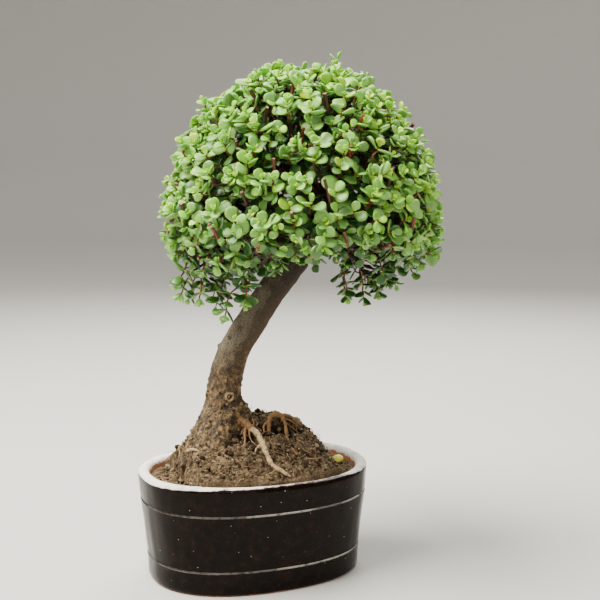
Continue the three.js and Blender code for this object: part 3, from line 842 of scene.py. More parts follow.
@dataclass
class Pot:
    """The oval pot, with its grooves, its uneven rim and the two drain holes in its floor."""

    rim: Oval = Oval()
    sides: int = 168
    crease: float = 50.0
    drain_radius: float = 7.0
    # Above this height a face belongs to the inside where it lies within the middle of the lip
    lip_from: float = 60.0
    lip_middle: float = 4.4

    def outside(self) -> list[Pair]:
        """The outer outline from the foot up, as heights and insets."""
        rows: list[Pair] = [(0, 9.6), (0.25, 8.9), (1, 8.0), (3, 7.1), (8, 6.8), (14, 6.5)]
        rows += self.groove(GROOVE_HEIGHTS[0], 6.3)
        rows += [(24, 5.9), (32, 5.1), (42, 4.0), (50, 3.1), (58, 2.1), (62, 1.65)]
        rows += self.groove(GROOVE_HEIGHTS[1], 1.4)
        rows += [(69, 1.1), (74, 0.7), (80, 0.25), (84, 0), (85.6, 0.15), (86.7, 0.7), (87.5, 1.7)]
        return rows

    def groove(self, height: float, inset: float) -> list[Pair]:
        """One incised line with its two raised lips."""
        return [
            (height - 1.7, inset), (height - 0.9, inset - 0.12), (height - 0.45, inset + 0.5),
            (height, inset + 0.8), (height + 0.45, inset + 0.5), (height + 0.9, inset - 0.14),
            (height + 1.7, inset - 0.05)
        ]

    def inside(self) -> list[Pair]:
        """The inner outline from the top of the lip down to the floor."""
        lip = [(88, 3.2), (88.05, 4.8), (87.7, 6.3), (86.9, 7.6), (85.5, 8.6), (83, 9.2)]
        return [*lip, (78, 9.6), (60, 11.1), (40, 13), (20, 15.5), (13, 17.5), (POT_FLOOR, 20)]

    def ring(self, height: float, inset: float) -> np.ndarray:
        """One ring of the wall.

        Args:
            height: Height above the underside.
            inset: Distance inside the rim's outline.

        Returns:
            The ring's points.
        """
        share = smoothstep(70, POT_HEIGHT, height)
        points = []
        for angle in ring_angles(self.sides):
            x, y = self.rim.point(angle)
            wave = 0.5 * math.sin(2 * angle + 0.7) + 0.3 * math.sin(3 * angle + 2)
            wobble = 0.35 * grain((9 * x, 9 * y, 0.03 * height), 1.0) * smoothstep(0, 30, height)
            dent = max(0.0, grain((60 * x, 50 * y, 3.0), 2.6) - 0.35)
            chip = -0.5 * dent * smoothstep(85, POT_HEIGHT, height)
            reach = inset + wobble
            lifted = height + share * wave + chip + 0.12 * share * grain((40 * x, 40 * y, 0), 2.0)
            half_length, half_width = self.rim.half_length - reach, self.rim.half_width - reach
            points.append((half_length * x, half_width * y, lifted))
        return np.array(points)

    def build(self) -> bpy.types.Object:
        """Builds the pot and cuts its drain holes."""
        outside, inside = self.outside(), self.inside()
        rows = [self.ring(height, inset) for height, inset in outside + inside]
        base = np.zeros((1, self.sides, 3))
        floor = base + [0, 0, POT_FLOOR]
        rings = np.concatenate([base, np.array(rows), floor])
        pot = skin("pot_body", rings, crease=self.crease)
        for x in (-DRAIN_X, DRAIN_X):
            deselect()
            bpy.ops.mesh.primitive_cylinder_add(
                vertices=40, radius=self.drain_radius * MM, depth=30 * MM,
                location=(x * MM, 0, 5 * MM)
            )
            drill = bpy.context.object
            modify(pot, "BOOLEAN", operation="DIFFERENCE", object=drill, solver="EXACT")
            bpy.data.objects.remove(drill)
        select_only([pot])
        bpy.ops.object.shade_smooth_by_angle(angle=math.radians(self.crease))
        return pot

    def dress(self, pot: bpy.types.Object) -> None:
        """Glazes the outside and leaves the inside bare.

        Args:
            pot: The piece made by build.
        """
        hand_over(pot, "glazed_clay", ["pot"], PotFinish(PotSide.OUTSIDE).build())
        pot.data.materials.append(PotFinish(PotSide.INSIDE).build())
        for face in pot.data.polygons:
            x, y, z = face.center / MM
            if z >= self.lip_from:
                is_bare = self.rim.reach(x, y, self.lip_middle) < 1
            else:
                is_bare = z > 1 and face.normal.z > -0.9 and self.is_inside(x, y, z)
            face.material_index = int(is_bare)

    def is_inside(self, x: float, y: float, z: float) -> bool:
        """Tells whether a point of the lower wall lies on its inner side."""
        return self.rim.reach(x, y, 10.5 - 0.03 * z) < 1

    def make(self) -> None:
        """Builds and dresses the pot."""
        self.dress(self.build())


@dataclass
class DrainScreens:
    """Two round mesh screens, which keep the soil in above the drain holes."""

    radius: float = 14.0
    thickness: float = 1.2
    base: float = 10.3
    pitch: float = 3.5
    places: Pair = (-DRAIN_X, DRAIN_X)

    def build(self, x: float, name: str) -> bpy.types.Object:
        """Builds one screen as a lattice in a ring.

        Args:
            x: The middle of the screen.
            name: The screen's name.

        Returns:
            The screen.
        """
        parts = []
        middle = self.base + self.thickness / 2
        count = int(self.radius // self.pitch)
        for k in range(-count, count + 1):
            offset = k * self.pitch
            reach = math.sqrt(self.radius**2 - offset**2) - 0.6
            strand = (
                ((reach, 0.5, 0.35), (x, offset, middle)),
                ((0.5, reach, 0.35), (x + offset, 0, middle))
            )
            for size, place in strand:
                deselect()
                bpy.ops.mesh.primitive_cube_add(
                    size=2, location=[c * MM for c in place], scale=[c * MM for c in size]
                )
                bpy.ops.object.transform_apply(location=True, rotation=True, scale=True)
                parts.append(bpy.context.object)
        deselect()
        bpy.ops.mesh.primitive_torus_add(
            major_radius=(self.radius - 0.7) * MM, minor_radius=0.6 * MM, major_segments=48,
            minor_segments=8, location=(x * MM, 0, middle * MM)
        )
        bpy.ops.object.transform_apply(location=True, rotation=True, scale=True)
        parts.append(bpy.context.object)
        return joined(name, parts)

    def make(self) -> None:
        """Builds and dresses both screens."""
        finish = ScreenFinish().build()
        for side, x in zip(("left", "right"), self.places):
            screen = self.build(x, f"screen_{side}")
            hand_over(screen, "screen_mesh", [f"drain_screen_{side}"], finish)


@dataclass
class Soil:
    """The mound of soil, its crumbs and its fine fibres."""

    rim: Oval = Oval()
    edge_height: float = 81.0
    front_rise: float = 5.0
    mound_height: float = 50.0
    mound_half: float = 62.0
    half_length: float = 85.1
    half_width: float = 62.5
    # The wall and the underside, from the edge down: height and distance inside the rim's outline
    buried: tuple[Pair, ...] = ((20.0, 15.8), (10.3, 20.3))
    buried_tone: float = 0.4
    columns: int = 210
    rows: int = 164
    crumb_count: int = 1700
    fibre_count: int = 190
    leaf_spot: Pair = (70.0, 6.0)
    leaf_clear: float = 8.0
    trunk_x: float = -25.6
    trunk_clear: float = 17.0
    slump: float = 5.5
    # Hollows under the bare roots: x, y, depth and width
    hollows: tuple[tuple[float, float, float, float], ...] = (
        (13.0, -20.0, 7.0, 6.0), (20.0, -22.0, 6.0, 5.0), (31.0, -17.0, 5.0, 4.5),
        (-19.0, -22.5, 6.0, 4.5), (-12.0, -26.0, 4.0, 4.0), (-1.0, -20.0, 3.0, 5.0)
    )
    random_source: random.Random = field(default_factory=lambda: random.Random(41))

    def form(self, x: float, y: float) -> float:
        """Height of the mound without its crumbs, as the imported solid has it.

        Args:
            x: Place along the pot.
            y: Place across the pot.

        Returns:
            Height above the pot's underside.
        """
        across = abs((x - 1) / self.mound_half)
        along = min(1.0, abs(y / self.mound_half))
        forward = min(1.0, max(0.0, -y / self.mound_half))
        shoulder = 1 - 0.6 * min(across, 1.06) ** 2.2
        side = 1 - smoothstep(0.93, 1.06, across)
        mound = self.mound_height * shoulder * side * (1 - 0.95 * along**1.5)
        heel = 9 * math.exp(-((x + 42) ** 2 + (y + 2) ** 2) / 288)
        return self.edge_height + self.front_rise * forward**2 + mound + heel

    def from_leaf(self, x: float, y: float) -> float:
        """Distance of a place from the spot where the fallen leaf lies."""
        return math.hypot(x - self.leaf_spot[0], y - self.leaf_spot[1])

    def height(self, x: float, y: float) -> float:
        """Height of the soil with its hollows and larger lumps."""
        lumps = 1.8 * grain((x, y, 0), 9) + 0.9 * grain((x, y, 40), 4)
        lumps *= 1 - bell(self.from_leaf(x, y), 9)
        rough = smoothstep(self.edge_height - 1, self.edge_height + 12, self.form(x, y))
        pits = sum(d * bell(math.hypot(x - cx, y - cy), w) for cx, cy, d, w in self.hollows)
        # The right flank has slumped, so it starts a little nearer to the trunk
        slump = self.slump * smoothstep(40, 60, x)
        return self.form(x + slump, y) + lumps * (0.35 + 0.65 * rough) - pits

    def normal(self, x: float, y: float) -> Vector:
        """The way the surface faces at a point."""
        step = 0.8
        slope_x = (self.height(x + step, y) - self.height(x - step, y)) / (2 * step)
        slope_y = (self.height(x, y + step) - self.height(x, y - step)) / (2 * step)
        return Vector((-slope_x, -slope_y, 1.0)).normalized()

    def plan(self, s: float, t: float) -> Pair:
        """Maps a square from -1 to 1 onto the inside of the pot.

        Args:
            s: Place along the square.
            t: Place across it.

        Returns:
            The place in the pot.
        """
        x, y = s * math.sqrt(1 - t * t / 2), t * math.sqrt(1 - s * s / 2)
        reach = math.hypot(x, y)
        if reach < 1e-6:
            return 0.0, 0.0
        n = self.rim.exponent
        bulge = (abs(x / reach) ** n + abs(y / reach) ** n) ** (-1 / n)
        return x * bulge * self.half_length, y * bulge * self.half_width

    def crumble(self, place: Vector) -> float:
        """Relief of the crumbs at a point, in millimetres, low in the pits."""
        bent = place + Vector([2.2 * grain(place + Vector((0, 0, 30 * k)), 3.5) for k in range(3)])
        near = noise.voronoi(bent / 4.2)[0]
        small = noise.voronoi(bent / 1.9 + Vector((7, 3, 1)))[0]
        holes = -3.2 * max(0.0, grain(bent, 4.0) - 0.22) - 1.8 * max(0.0, grain(bent, 1.9) - 0.2)
        fine = 1 - 0.45 * smoothstep(100, 88, place.z)
        return fine * (
            1.3 * (0.45 - near[0]) + 0.8 * (0.45 - small[0]) + 0.5 * grain(place, 1.3) + holes
        )

    def build_ground(self) -> bpy.types.Object:
        """Builds the soil as one closed block with a crumbled top."""
        deselect()
        bpy.ops.mesh.primitive_grid_add(
            x_subdivisions=self.columns, y_subdivisions=self.rows, size=2
        )
        ground = bpy.context.object
        tones = []
        for vertex in ground.data.vertices:
            edge = max(abs(vertex.co.x), abs(vertex.co.y))
            x, y = self.plan(vertex.co.x, vertex.co.y)
            surface = Vector((x, y, self.height(x, y)))
            relief = self.crumble(surface) * (1 - smoothstep(0.97, 1.0, edge))
            vertex.co = (surface + self.normal(x, y) * relief) * MM
            # Low relief and the hollows under the roots get a darker tone: painted shade
            pits = sum(bell(math.hypot(x - cx, y - cy), w) for cx, cy, _, w in self.hollows)
            tones.append(0.62 + 0.3 * relief - 0.5 * min(1.0, pits))
        bpy.ops.object.mode_set(mode="EDIT")
        bpy.ops.mesh.select_all(action="DESELECT")
        bpy.ops.mesh.select_non_manifold(extend=False, use_boundary=True)
        for height, inset in self.buried:
            bpy.ops.mesh.extrude_region_move()
            along = (self.rim.half_length - inset) / self.half_length
            across = (self.rim.half_width - inset) / self.half_width
            bpy.ops.transform.resize(
                value=(along, across, 0.0), center_override=(0, 0, height * MM)
            )
        bpy.ops.mesh.edge_face_add()
        bpy.ops.mesh.select_all(action="SELECT")
        bpy.ops.mesh.normals_make_consistent(inside=False)
        bpy.ops.object.mode_set(mode="OBJECT")
        # The buried walls and the underside, whose vertices come last, are of a middle tone
        count = len(ground.data.vertices)
        set_attribute(ground.data, "tone", (tones + [self.buried_tone] * count)[:count])
        bpy.ops.object.shade_smooth_by_angle(angle=math.radians(60))
        ground.name = "soil_mound"
        return ground

    def crumb_shapes(self) -> list[bpy.types.Mesh]:
        """Models four crumbs of soil, two coarse and two fine."""
        shapes = []
        for k in range(4):
            deselect()
            bpy.ops.mesh.primitive_ico_sphere_add(subdivisions=2 if k < 2 else 1, radius=MM)
            crumb = bpy.context.object

            def dent(place: Vector, normal: Vector, k: int = k) -> Vector:
                """Dents the ball differently for each crumb."""
                return place * (1 + 0.35 * grain(place + Vector((5 * k, 0, 0)), 0.7))

            move_points(crumb, dent)
            shapes.append(template_from(crumb))
        return shapes

    def spot(self) -> Pair:
        """Draws a place on the soil, more often on the mound than along the wall."""
        draw = self.random_source.uniform
        while True:
            s, t = draw(-0.95, 0.95), draw(-0.95, 0.95)
            x, y = self.plan(s, t)
            near_leaf = self.from_leaf(x, y) <= self.leaf_clear
            if near_leaf or math.hypot(x - self.trunk_x, y) <= self.trunk_clear:
                continue
            if draw(0, 1) < (1.0 if abs(x - 1) < 66 else 0.6):
                return x, y

    def build_crumbs(self) -> bpy.types.Object:
        """Strews crumbs of soil over the mound, half sunk in."""
        shapes = self.crumb_shapes()
        draw = self.random_source
        copies = []
        for _ in range(self.crumb_count):
            x, y = self.spot()
            size = min(2.6, draw.lognormvariate(-0.15, 0.45))
            surface = Vector((x, y, self.height(x, y))) + self.normal(x, y) * (0.15 * size)
            shape = shapes[draw.randrange(2) if size > 1.5 else 2 + draw.randrange(2)]
            angle = draw.uniform(0, math.tau)
            axis = Vector((draw.random(), draw.random(), 1)).normalized()
            turn = Matrix.Rotation(angle, 4, axis)
            scale = Matrix.Diagonal(
                (size, size * draw.uniform(0.6, 1.0), size * draw.uniform(0.55, 0.85), 1.0)
            )
            copies.append(
                Copy(shape, Matrix.Translation(surface) @ turn @ scale, draw.uniform(0.25, 0.95))
            )
        return placed("soil_crumbs", copies)

    def build_fibres(self) -> bpy.types.Object:
        """Lays thin dead roots over the soil, some with their ends standing up."""
        draw = self.random_source
        shapes = []
        for _ in range(5):
            bends = [(draw.uniform(-1.2, 1.2), draw.uniform(-1.2, 1.2), 2.5 * i) for i in range(5)]
            line = smooth_line(bends, 9)
            shapes.append(
                template_from(skin("fibre", sweep(line, lambda share, _: 0.26 * (1.15 - share), 4)))
            )
        copies = []
        for _ in range(self.fibre_count):
            x, y = self.spot()
            normal = self.normal(x, y)
            along = Vector((draw.uniform(-1, 1), draw.uniform(-1, 1), draw.uniform(-1, 0.4)))
            along = (
                along - normal * along.dot(normal)
            ).normalized() + normal * draw.uniform(-0.2, 0.3)
            surface = Vector((x, y, self.height(x, y))) + normal * 0.3
            width, length = draw.uniform(0.6, 1.5), draw.uniform(0.6, 1.7)
            place = aimed(surface, along.normalized(), draw.uniform(0, math.tau), width, length)
            copies.append(Copy(draw.choice(shapes), place, draw.random()))
        return placed("soil_fibres", copies)

    def make(self) -> None:
        """Builds and dresses the soil."""
        finish = SoilFinish().build()
        hand_over(self.build_ground(), "soil", ["soil"], finish)
        hand_over(self.build_crumbs(), "soil", [], finish)
        fibre_finish = RootFinish("dry_fibre", "#B08D60", "#5F4228").build()
        hand_over(self.build_fibres(), "soil", [], fibre_finish)


@dataclass
class Crown:
    """The form of the crown, which the limbs and the sprays both follow."""

    centre: Vector = field(default_factory=lambda: Vector((44, 0, 283)))
    half_length: float = 118.0
    half_width: float = 108.0
    rise: float = 133.0
    skirt: float = 68.0
    arch: float = 36.0
    spray_count: int = 35
    share_above: float = 0.68
    lowest: float = -0.76
    twig_reach: float = 0.56

    def half_height(self, direction: Vector) -> float:
        """How far the outline reaches above the centre, or below it on the side of a direction."""
        if direction.z > 0:
            return self.rise
        flat = math.hypot(direction.x, direction.y) or 1.0
        return self.arch + (self.skirt - self.arch) * (direction.x / flat) ** 2

    def surface(self, direction: Vector) -> Vector:
        """A point on the crown's outline, from its centre.

        Args:
            direction: A unit vector from the centre.

        Returns:
            The point, in millimetres from the centre.
        """
        height = self.half_height(direction)
        return Vector(
            (self.half_length * direction.x, self.half_width * direction.y, height * direction.z)
        )

    def point(self, direction: Vector, share: float) -> Vector:
        """A point at a share of the way from the centre to the outline."""
        return self.centre + self.surface(direction) * share

    def spiral(
        self, i: int, count: int, above: float, lowest: float, offset: float = 0.4
    ) -> Vector:
        """Direction i of a golden spiral over the crown.

        Args:
            i: Which direction.
            count: How many there are.
            above: Share of them above the centre.
            lowest: Height of the last one.
            offset: Where in its step each one lies.

        Returns:
            The direction.
        """
        share = (i + offset) / count
        z = 1 - share / above if share < above else lowest * (share - above) / (1 - above)
        flat = math.sqrt(max(0.0, 1 - z * z))
        angle = i * math.pi * (3 - math.sqrt(5))
        return Vector((flat * math.cos(angle), flat * math.sin(angle), z))

    def spray_direction(self, i: int) -> Vector:
        """Direction of the spray that has this number."""
        return self.spiral(i, self.spray_count, self.share_above, self.lowest)

    def depth(self, place: Vector) -> float:
        """How far a place lies below the crown's outline, as a share of the way to its centre."""
        offset = place - self.centre
        outline = self.surface(offset.normalized())
        return 1 - offset.length / outline.length

    def outward(self, direction: Vector) -> Vector:
        """The way the crown's outline faces in a direction."""
        height = self.half_height(direction)
        tilt = Vector(
            (direction.x / self.half_length, direction.y / self.half_width, direction.z / height)
        )
        return tilt.normalized()


@dataclass
class Trunk:
    """The leaning trunk with its flared foot, limbs and twigs."""

    crown: Crown
    soil: Soil
    # Centre line in the plane y = 0: x, z and diameter
    line: tuple[Triple, ...] = (
        (-25.5, 98, 31), (-25.5, 113, 35), (-25.7, 126, 35), (-26.3, 139, 31), (-25.0, 153, 28),
        (-22.0, 169, 26.8), (-14.5, 187, 25.2), (-1.5, 206, 24.5), (14.0, 228, 24),
        (28.5, 245.5, 23.6), (41, 258, 21)
    )
    # Root flares: points, and the radius at the first and the last
    flares: tuple[tuple[tuple[Triple, ...], Pair], ...] = (
        (((-29, 1, 143), (-39, 0, 127), (-49, -1, 112), (-60, -3, 90)), (9.5, 6.5)),
        (((-29, -3, 142), (-36, -8, 128), (-44, -13, 114), (-52, -18, 95)), (9.5, 7.5)),
        (((-27, -5, 142), (-30, -12, 129), (-35, -19, 116), (-38, -25, 96)), (10.0, 8.5)),
        (((-24, -3, 144), (-20, -9, 134), (-15.5, -14, 126.5)), (8.0, 4.0)),
        (((-22, -1, 147), (-14, -4, 137), (-8, -6, 124), (-5, -8, 104)), (7.5, 6.0)),
        (((-24, 6, 140), (-20, 16, 124), (-18, 24, 102)), (8.5, 6.0))
    )
    limb_angles: tuple[Pair, ...] = (
        (0, 4), (58, 14), (122, 10), (180, 2), (238, 10), (302, 12), (30, 80)
    )
    limb_reach: float = 0.34
    voxel: float = 1.0
    clod_count: int = 300
    clod_band: Pair = (104.0, 168.0)
    # What bark without a scar or a pit has as its mark
    plain_mark: float = 0.5
    # Marks on the bark: place, width, height, and whether it is a ring
    marks: tuple[tuple[Triple, float, float, bool], ...] = (
        ((-25.6, -14.5, 148.5), 2.9, 1.3, True), ((-28.7, -15.3, 141.3), 3.4, -2.6, False),
        ((-21.6, -5.5, 195.0), 2.2, -1.6, False), ((-26.8, 4.8, 187.0), 1.8, 1.6, False),
        ((-22.0, -12.0, 158.0), 5.0, 0.9, False), ((7.0, -9.0, 222.0), 4.0, 0.8, False)
    )

    def stem(self) -> bpy.types.Object:
        """Builds the trunk and its flares as tubes and fuses them into one skin."""
        known = [(x, 0.0, z, diameter) for x, z, diameter in self.line]
        line = smooth_line(known, 60)

        def stem_radius(share: float, angle: float) -> float:
            """Half the diameter noted at the nearest point of the line."""
            return line[round(share * (len(line) - 1)), 3] / 2

        parts = [skin("stem", sweep(line[:, :3], stem_radius, 32))]
        for points, (first, last) in self.flares:
            def flare_radius(
                share: float, angle: float, first: float = first, last: float = last
            ) -> float:
                """Runs evenly from the first radius to the last."""
                return first + (last - first) * share

            parts.append(skin("flare", sweep(smooth_line(points, 16), flare_radius, 16)))
        for curve in self.limb_curves():
            parts.append(skin("limb", sweep(curve, lambda share, angle: 8.2 - 4.0 * share, 16)))
        stem = joined("trunk_bark", parts)
        modify(stem, "REMESH", mode="VOXEL", voxel_size=self.voxel * MM)
        modify(stem, "SMOOTH", factor=0.5, iterations=8)
        return stem

    def limb_curves(self) -> list[np.ndarray]:
        """The limbs' centre lines."""
        x, z, _ = self.line[-1]
        curves = []
        for azimuth, elevation in self.limb_angles:
            a, e = math.radians(azimuth), math.radians(elevation)
            direction = Vector((math.cos(a) * math.cos(e), math.sin(a) * math.cos(e), math.sin(e)))
            rise = Vector((x, 0, z + 4)) + direction * 6
            points = [Vector((x - 5, 0, z - 6)), rise, self.crown.point(direction, self.limb_reach)]
            curves.append(smooth_line(points, 14))
        return curves

    def roughen(self, stem: bpy.types.Object) -> None:
        """Gives the bark its wrinkles, lumps and marks.

        Args:
            stem: The fused trunk.
        """
        marks = []

        def wrinkle(place: Vector, normal: Vector) -> Vector:
            """Lifts a point of the bark and notes its mark."""
            slanted = Vector((place.x - 0.55 * (place.z - 180), place.y, 0.3 * place.z))
            lift = 0.5 * grain(place, 8) + 0.28 * grain(slanted, 2.2) + 0.15 * grain(place, 1.5)
            low = 1 - smoothstep(152, 180, place.z + 6 * grain(place, 6))
            lift += low * (1.0 * grain(place, 2.6) + 1.5 * (0.4 - noise.voronoi(place / 4.5)[0][0]))
            mark = self.plain_mark
            for centre, width, height, is_ring in self.marks:
                distance = (place - Vector(centre)).length + 0.8 * grain(place, 2.2)
                if distance > 4 * width:
                    continue
                if is_ring:
                    lift += height * bell(distance - width, 0.9) + 0.9 * bell(distance, 5.0)
                    lift -= 0.5 * height * bell(distance - 1.1, 0.7)
                    worn = 0.85 + 0.8 * grain(place, 1.6)
                    mark += 0.5 * worn * (bell(distance - width, 1.1) + bell(distance, 0.6))
                    # The groove inside the ring lowers the mark, which the finish darkens as painted
                    # shade
                    mark -= 0.35 * bell(distance - 1.3, 0.5)
                else:
                    lift += height * bell(distance, width)
                    # A dent lowers the mark, which the finish darkens as painted shade
                    mark += 0.25 * min(0.0, height) * bell(distance, width)
            marks.append(mark)
            return place + normal * lift

        move_points(stem, wrinkle)
        set_attribute(stem.data, "mark", marks)

    def clods(self, stem: bpy.types.Object) -> bpy.types.Object:
        """Sticks clods of soil to the foot of the trunk, fewer the higher up."""
        draw = random.Random(5)
        shapes = self.soil.crumb_shapes()
        lowest, highest = self.clod_band
        skin_points = [
            (v.co / MM, v.normal.copy())
            for v in stem.data.vertices if lowest < v.co.z / MM < highest
        ]
        copies = []
        while len(copies) < self.clod_count:
            place, normal = draw.choice(skin_points)
            if draw.random() > (
                1 - smoothstep(118, 170, place.z)
            ) or place.z < self.soil.height(*place.xy) - 2:
                continue
            size = min(2.0, draw.lognormvariate(-0.2, 0.4))
            turn = aimed(
                place + normal * (0.1 * size), normal, draw.uniform(0, math.tau), size, 0.6 * size
            )
            copies.append(Copy(draw.choice(shapes), turn, draw.uniform(0.3, 0.9)))
        return placed("foot_clods", copies)

    def twigs(self) -> list[bpy.types.Object]:
        """Builds the twigs that run from the limbs to the sprays."""
        draw = random.Random(7)
        curves = self.limb_curves()
        twigs = []
        for i in range(self.crown.spray_count):
            direction = self.crown.spray_direction(i)
            end = self.crown.point(direction, self.crown.twig_reach)
            arrival = self.crown.surface(direction).normalized()
            starts = [Vector(curve[draw.randrange(8, 13)]) for curve in curves]
            start = min(starts, key=lambda point: (point - end).length)
            bend = end - arrival * (0.45 * (start - end).length)
            points = [start, start.lerp(bend, 0.6), bend.lerp(end, 0.4), end + arrival * 3]

            def twig_radius(share: float, angle: float) -> float:
                """Thins towards the tip, with a swollen node halfway."""
                return 3.3 - 1.3 * share + 0.35 * bell(share - 0.5, 0.06)

            twigs.append(skin("twig", sweep(smooth_line(points, 12), twig_radius, 7)))
        return twigs

    def make(self) -> None:
        """Builds and dresses the trunk."""
        stem = self.stem()
        self.roughen(stem)
        hand_over(self.clods(stem), "soil", [], SoilFinish().build())
        twigs = self.twigs()
        for twig in twigs:
            set_attribute(twig.data, "mark", [self.plain_mark] * len(twig.data.vertices))
        whole = joined("trunk_bark", [stem, *twigs])
        bpy.ops.object.shade_smooth()
        hand_over(whole, "bark", ["trunk"], BarkFinish().build())


@dataclass(frozen=True)
class RootPath:
    """One bare root: its points, of which those with no height lie on soil, and its end radii."""

    points: tuple[tuple[float, ...], ...]
    radii: Pair
    knots: tuple[float, ...] = ()


@dataclass
class Roots:
    """The bare roots on the mound."""

    soil: Soil
    heel: tuple[RootPath, ...] = (
        RootPath(
            ((-22, -9, 129), (-16, -14, 127), (-11.5, -19, 124.4), (-8.5, -21.8, 121.5)),
            (4.6, 2.6), (0.6,)
        ),
        RootPath(
            ((-12.5, -18.5, 124), (-15.2, -22.5, 121), (-17.5, -28), (-19.2, -34.5)), (1.4, 0.8),
            (0.4,)
        ),
        RootPath(((-9.5, -20.5, 122.5), (-7.8, -22.5, 127.2), (-8.6, -21.5, 131.0)), (0.9, 0.5)),
        RootPath(((-11, -20, 123), (-12.5, -27, 116.5), (-10.5, -35)), (0.8, 0.4))
    )
    front: tuple[RootPath, ...] = (
        RootPath(
            (
                (-10, -20, 122.5), (-6.6, -24.5), (-5.5, -31), (-4.8, -36), (-4.6, -43),
                (-3.2, -50.5), (2.5, -56), (9, -60.2)
            ),
            (2.5, 1.5), (0.32, 0.42, 0.66, 0.8)
        ),
        RootPath(((-5, -36), (-8.6, -36.5), (-10.8, -38), (-13, -41)), (1.2, 0.6)),
        RootPath(((-4, -35), (-1.6, -36), (-0.8, -34.5)), (0.8, 0.5))
    )
    arch: tuple[RootPath, ...] = (
        RootPath(
            (
                (5.6, -20.5, 118), (7, -18, 127.5), (12.5, -15.5, 131.2), (18.6, -15.5, 130.2),
                (20.2, -19, 124), (18.9, -26, 117.5), (18.6, -34, 110), (20.5, -45)
            ),
            (1.9, 0.9), (0.3, 0.42, 0.62)
        ),
        RootPath(
            ((15.5, -15.4, 130.4), (26, -10.5, 127.8), (34, -9.5, 122.0), (42, -9.5, 113)),
            (1.5, 0.8), (0.4,)
        ),
        RootPath(
            ((14, -16, 130.0), (24, -13.5, 126.2), (33, -13, 119.2), (40, -13, 112)), (0.9, 0.6)
        ),
        RootPath(((17, -14.5, 130.0), (28, -7, 127.4), (38, -6, 119.6), (47, -6, 110)), (1.0, 0.6)),
        RootPath(((20, -18.5, 124.6), (27, -16, 119.8), (36, -16.5, 111.5)), (0.7, 0.5)),
        RootPath(((7.2, -18.2, 127), (2.5, -20, 124.5), (0, -25, 119.5)), (1.1, 0.7))
    )
    left: tuple[RootPath, ...] = (
        RootPath(((-59.8, 4, 95), (-58.5, -4), (-56.0, -13), (-52.5, -20.5)), (1.5, 1.0), (0.5,)),
        RootPath(
            ((-60.5, -4, 104), (-64.8, -6, 109.5), (-65.5, -7, 105), (-64.5, -8, 98)), (0.7, 0.5)
        )
    )

    def build(self, path: RootPath, seed: int) -> bpy.types.Object:
        """Builds one root.

        Args:
            path: Where it runs.
            seed: Sets its wobble.

        Returns:
            The root.
        """
        first, last = path.radii
        known = []
        for point in path.points:
            x, y = point[:2]
            z = point[2] if len(point) == 3 else self.soil.height(x, y) + 0.45 * first
            known.append((x, y, z))
        rough_length = sum(math.dist(a, b) for a, b in zip(known, known[1:]))
        line = smooth_line(known, max(12, int(rough_length / 0.9)))
        for i, place in enumerate(line):
            fade = math.sin(math.pi * i / (len(line) - 1))
            line[i] = place + [
                0.9 * fade * grain((0.9 * i, 7.3 * seed, 9.0 * k), 3.6) for k in range(3)
            ]

        def radius(share: float, angle: float) -> float:
            """Thins towards the end, with knots and lumps."""
            base = first + (last - first) * share**0.8
            knots = sum(0.28 * bell(share - knot, 0.035) for knot in path.knots)
            lumps = 0.3 * grain((40 * share, 7.3 * seed, math.cos(angle)), 1.4)
            taper = min(1.0, 0.45 + 5 * (1 - share))
            return base * (1 + knots + lumps) * taper

        return skin("root", sweep(line, radius, 12))

    def make(self) -> None:
        """Builds and dresses all the roots."""
        brown = RootFinish("orange_root_skin", "#8A6133", "#452E18").build()
        pale = RootFinish("pale_root_skin", "#BDA075", "#80643F").build()
        groups = (
            ("root_heel", self.heel, "brown_root", brown),
            ("root_front", self.front, "pale_root", pale),
            ("root_arch", self.arch, "brown_root", brown),
            ("root_left", self.left, "pale_root", pale)
        )
        for node, paths, slot, finish in groups:
            pieces = [self.build(path, 10 + k) for k, path in enumerate(paths)]
            hand_over(joined(node + "_skin", pieces), slot, [node], finish)


class LeafShape(Enum):
    """The leaf shapes that repeat over the crown: width, cup and notch."""

    ROUND = (0.92, 0.07, 0.0)
    NOTCHED = (0.88, 0.05, 0.05)
    LONG = (0.74, 0.09, 0.0)
    FOLDED = (0.8, 0.22, 0.02)


@dataclass
class Leaf:
    """One fleshy leaf, a millimetre long, that the crown scales and copies."""

    shape: LeafShape
    thickness: float = 0.15
    rows: int = 8
    sides: int = 6

    def half_width(self, along: float) -> float:
        """Half the width at a share of the length: narrow at the foot, widest past the middle."""
        if along > 0.6:
            return math.sqrt(max(0.0, 1 - ((along - 0.6) / 0.4) ** 2.2))
        return 0.14 + 0.86 * math.sin(math.pi / 2 * along / 0.6) ** 1.15

    def build(self) -> bpy.types.Mesh:
        """Builds the leaf's mesh with its foot at the origin, pointing along X, its face up.

        Returns:
            The mesh, whose UV map runs across and along the blade.
        """
        width, cup, notch = self.shape.value
        rings = []
        for i in range(self.rows + 1):
            along = (1 - math.cos(math.pi * i / self.rows)) / 2
            half = width / 2 * self.half_width(along) if 0 < i < self.rows else 0.0
            if i == 0:
                half = 0.02
            ring = []
            for angle in ring_angles(self.sides):
                y = half * math.cos(angle)
                body = self.thickness / 2 * math.sqrt(max(0.0, 1 - (2 * along - 1) ** 4)) + 0.015
                z = body * math.sin(angle) if half else 0.0
                z += cup * (2 * y / width) ** 2 + 0.10 * along**2
                x = along - notch * bell(y, 0.1) * smoothstep(0.8, 1.0, along)
                ring.append((x, y, z))
            rings.append(ring)
        piece = skin("leaf_" + self.shape.name.lower(), np.array(rings), crease=180)
        uv_map = piece.data.uv_layers[0]
        for loop in piece.data.loops:
            place = piece.data.vertices[loop.vertex_index].co / MM
            uv_map.data[loop.index].uv = (0.5 + place.y / width, place.x)
        return template_from(piece)


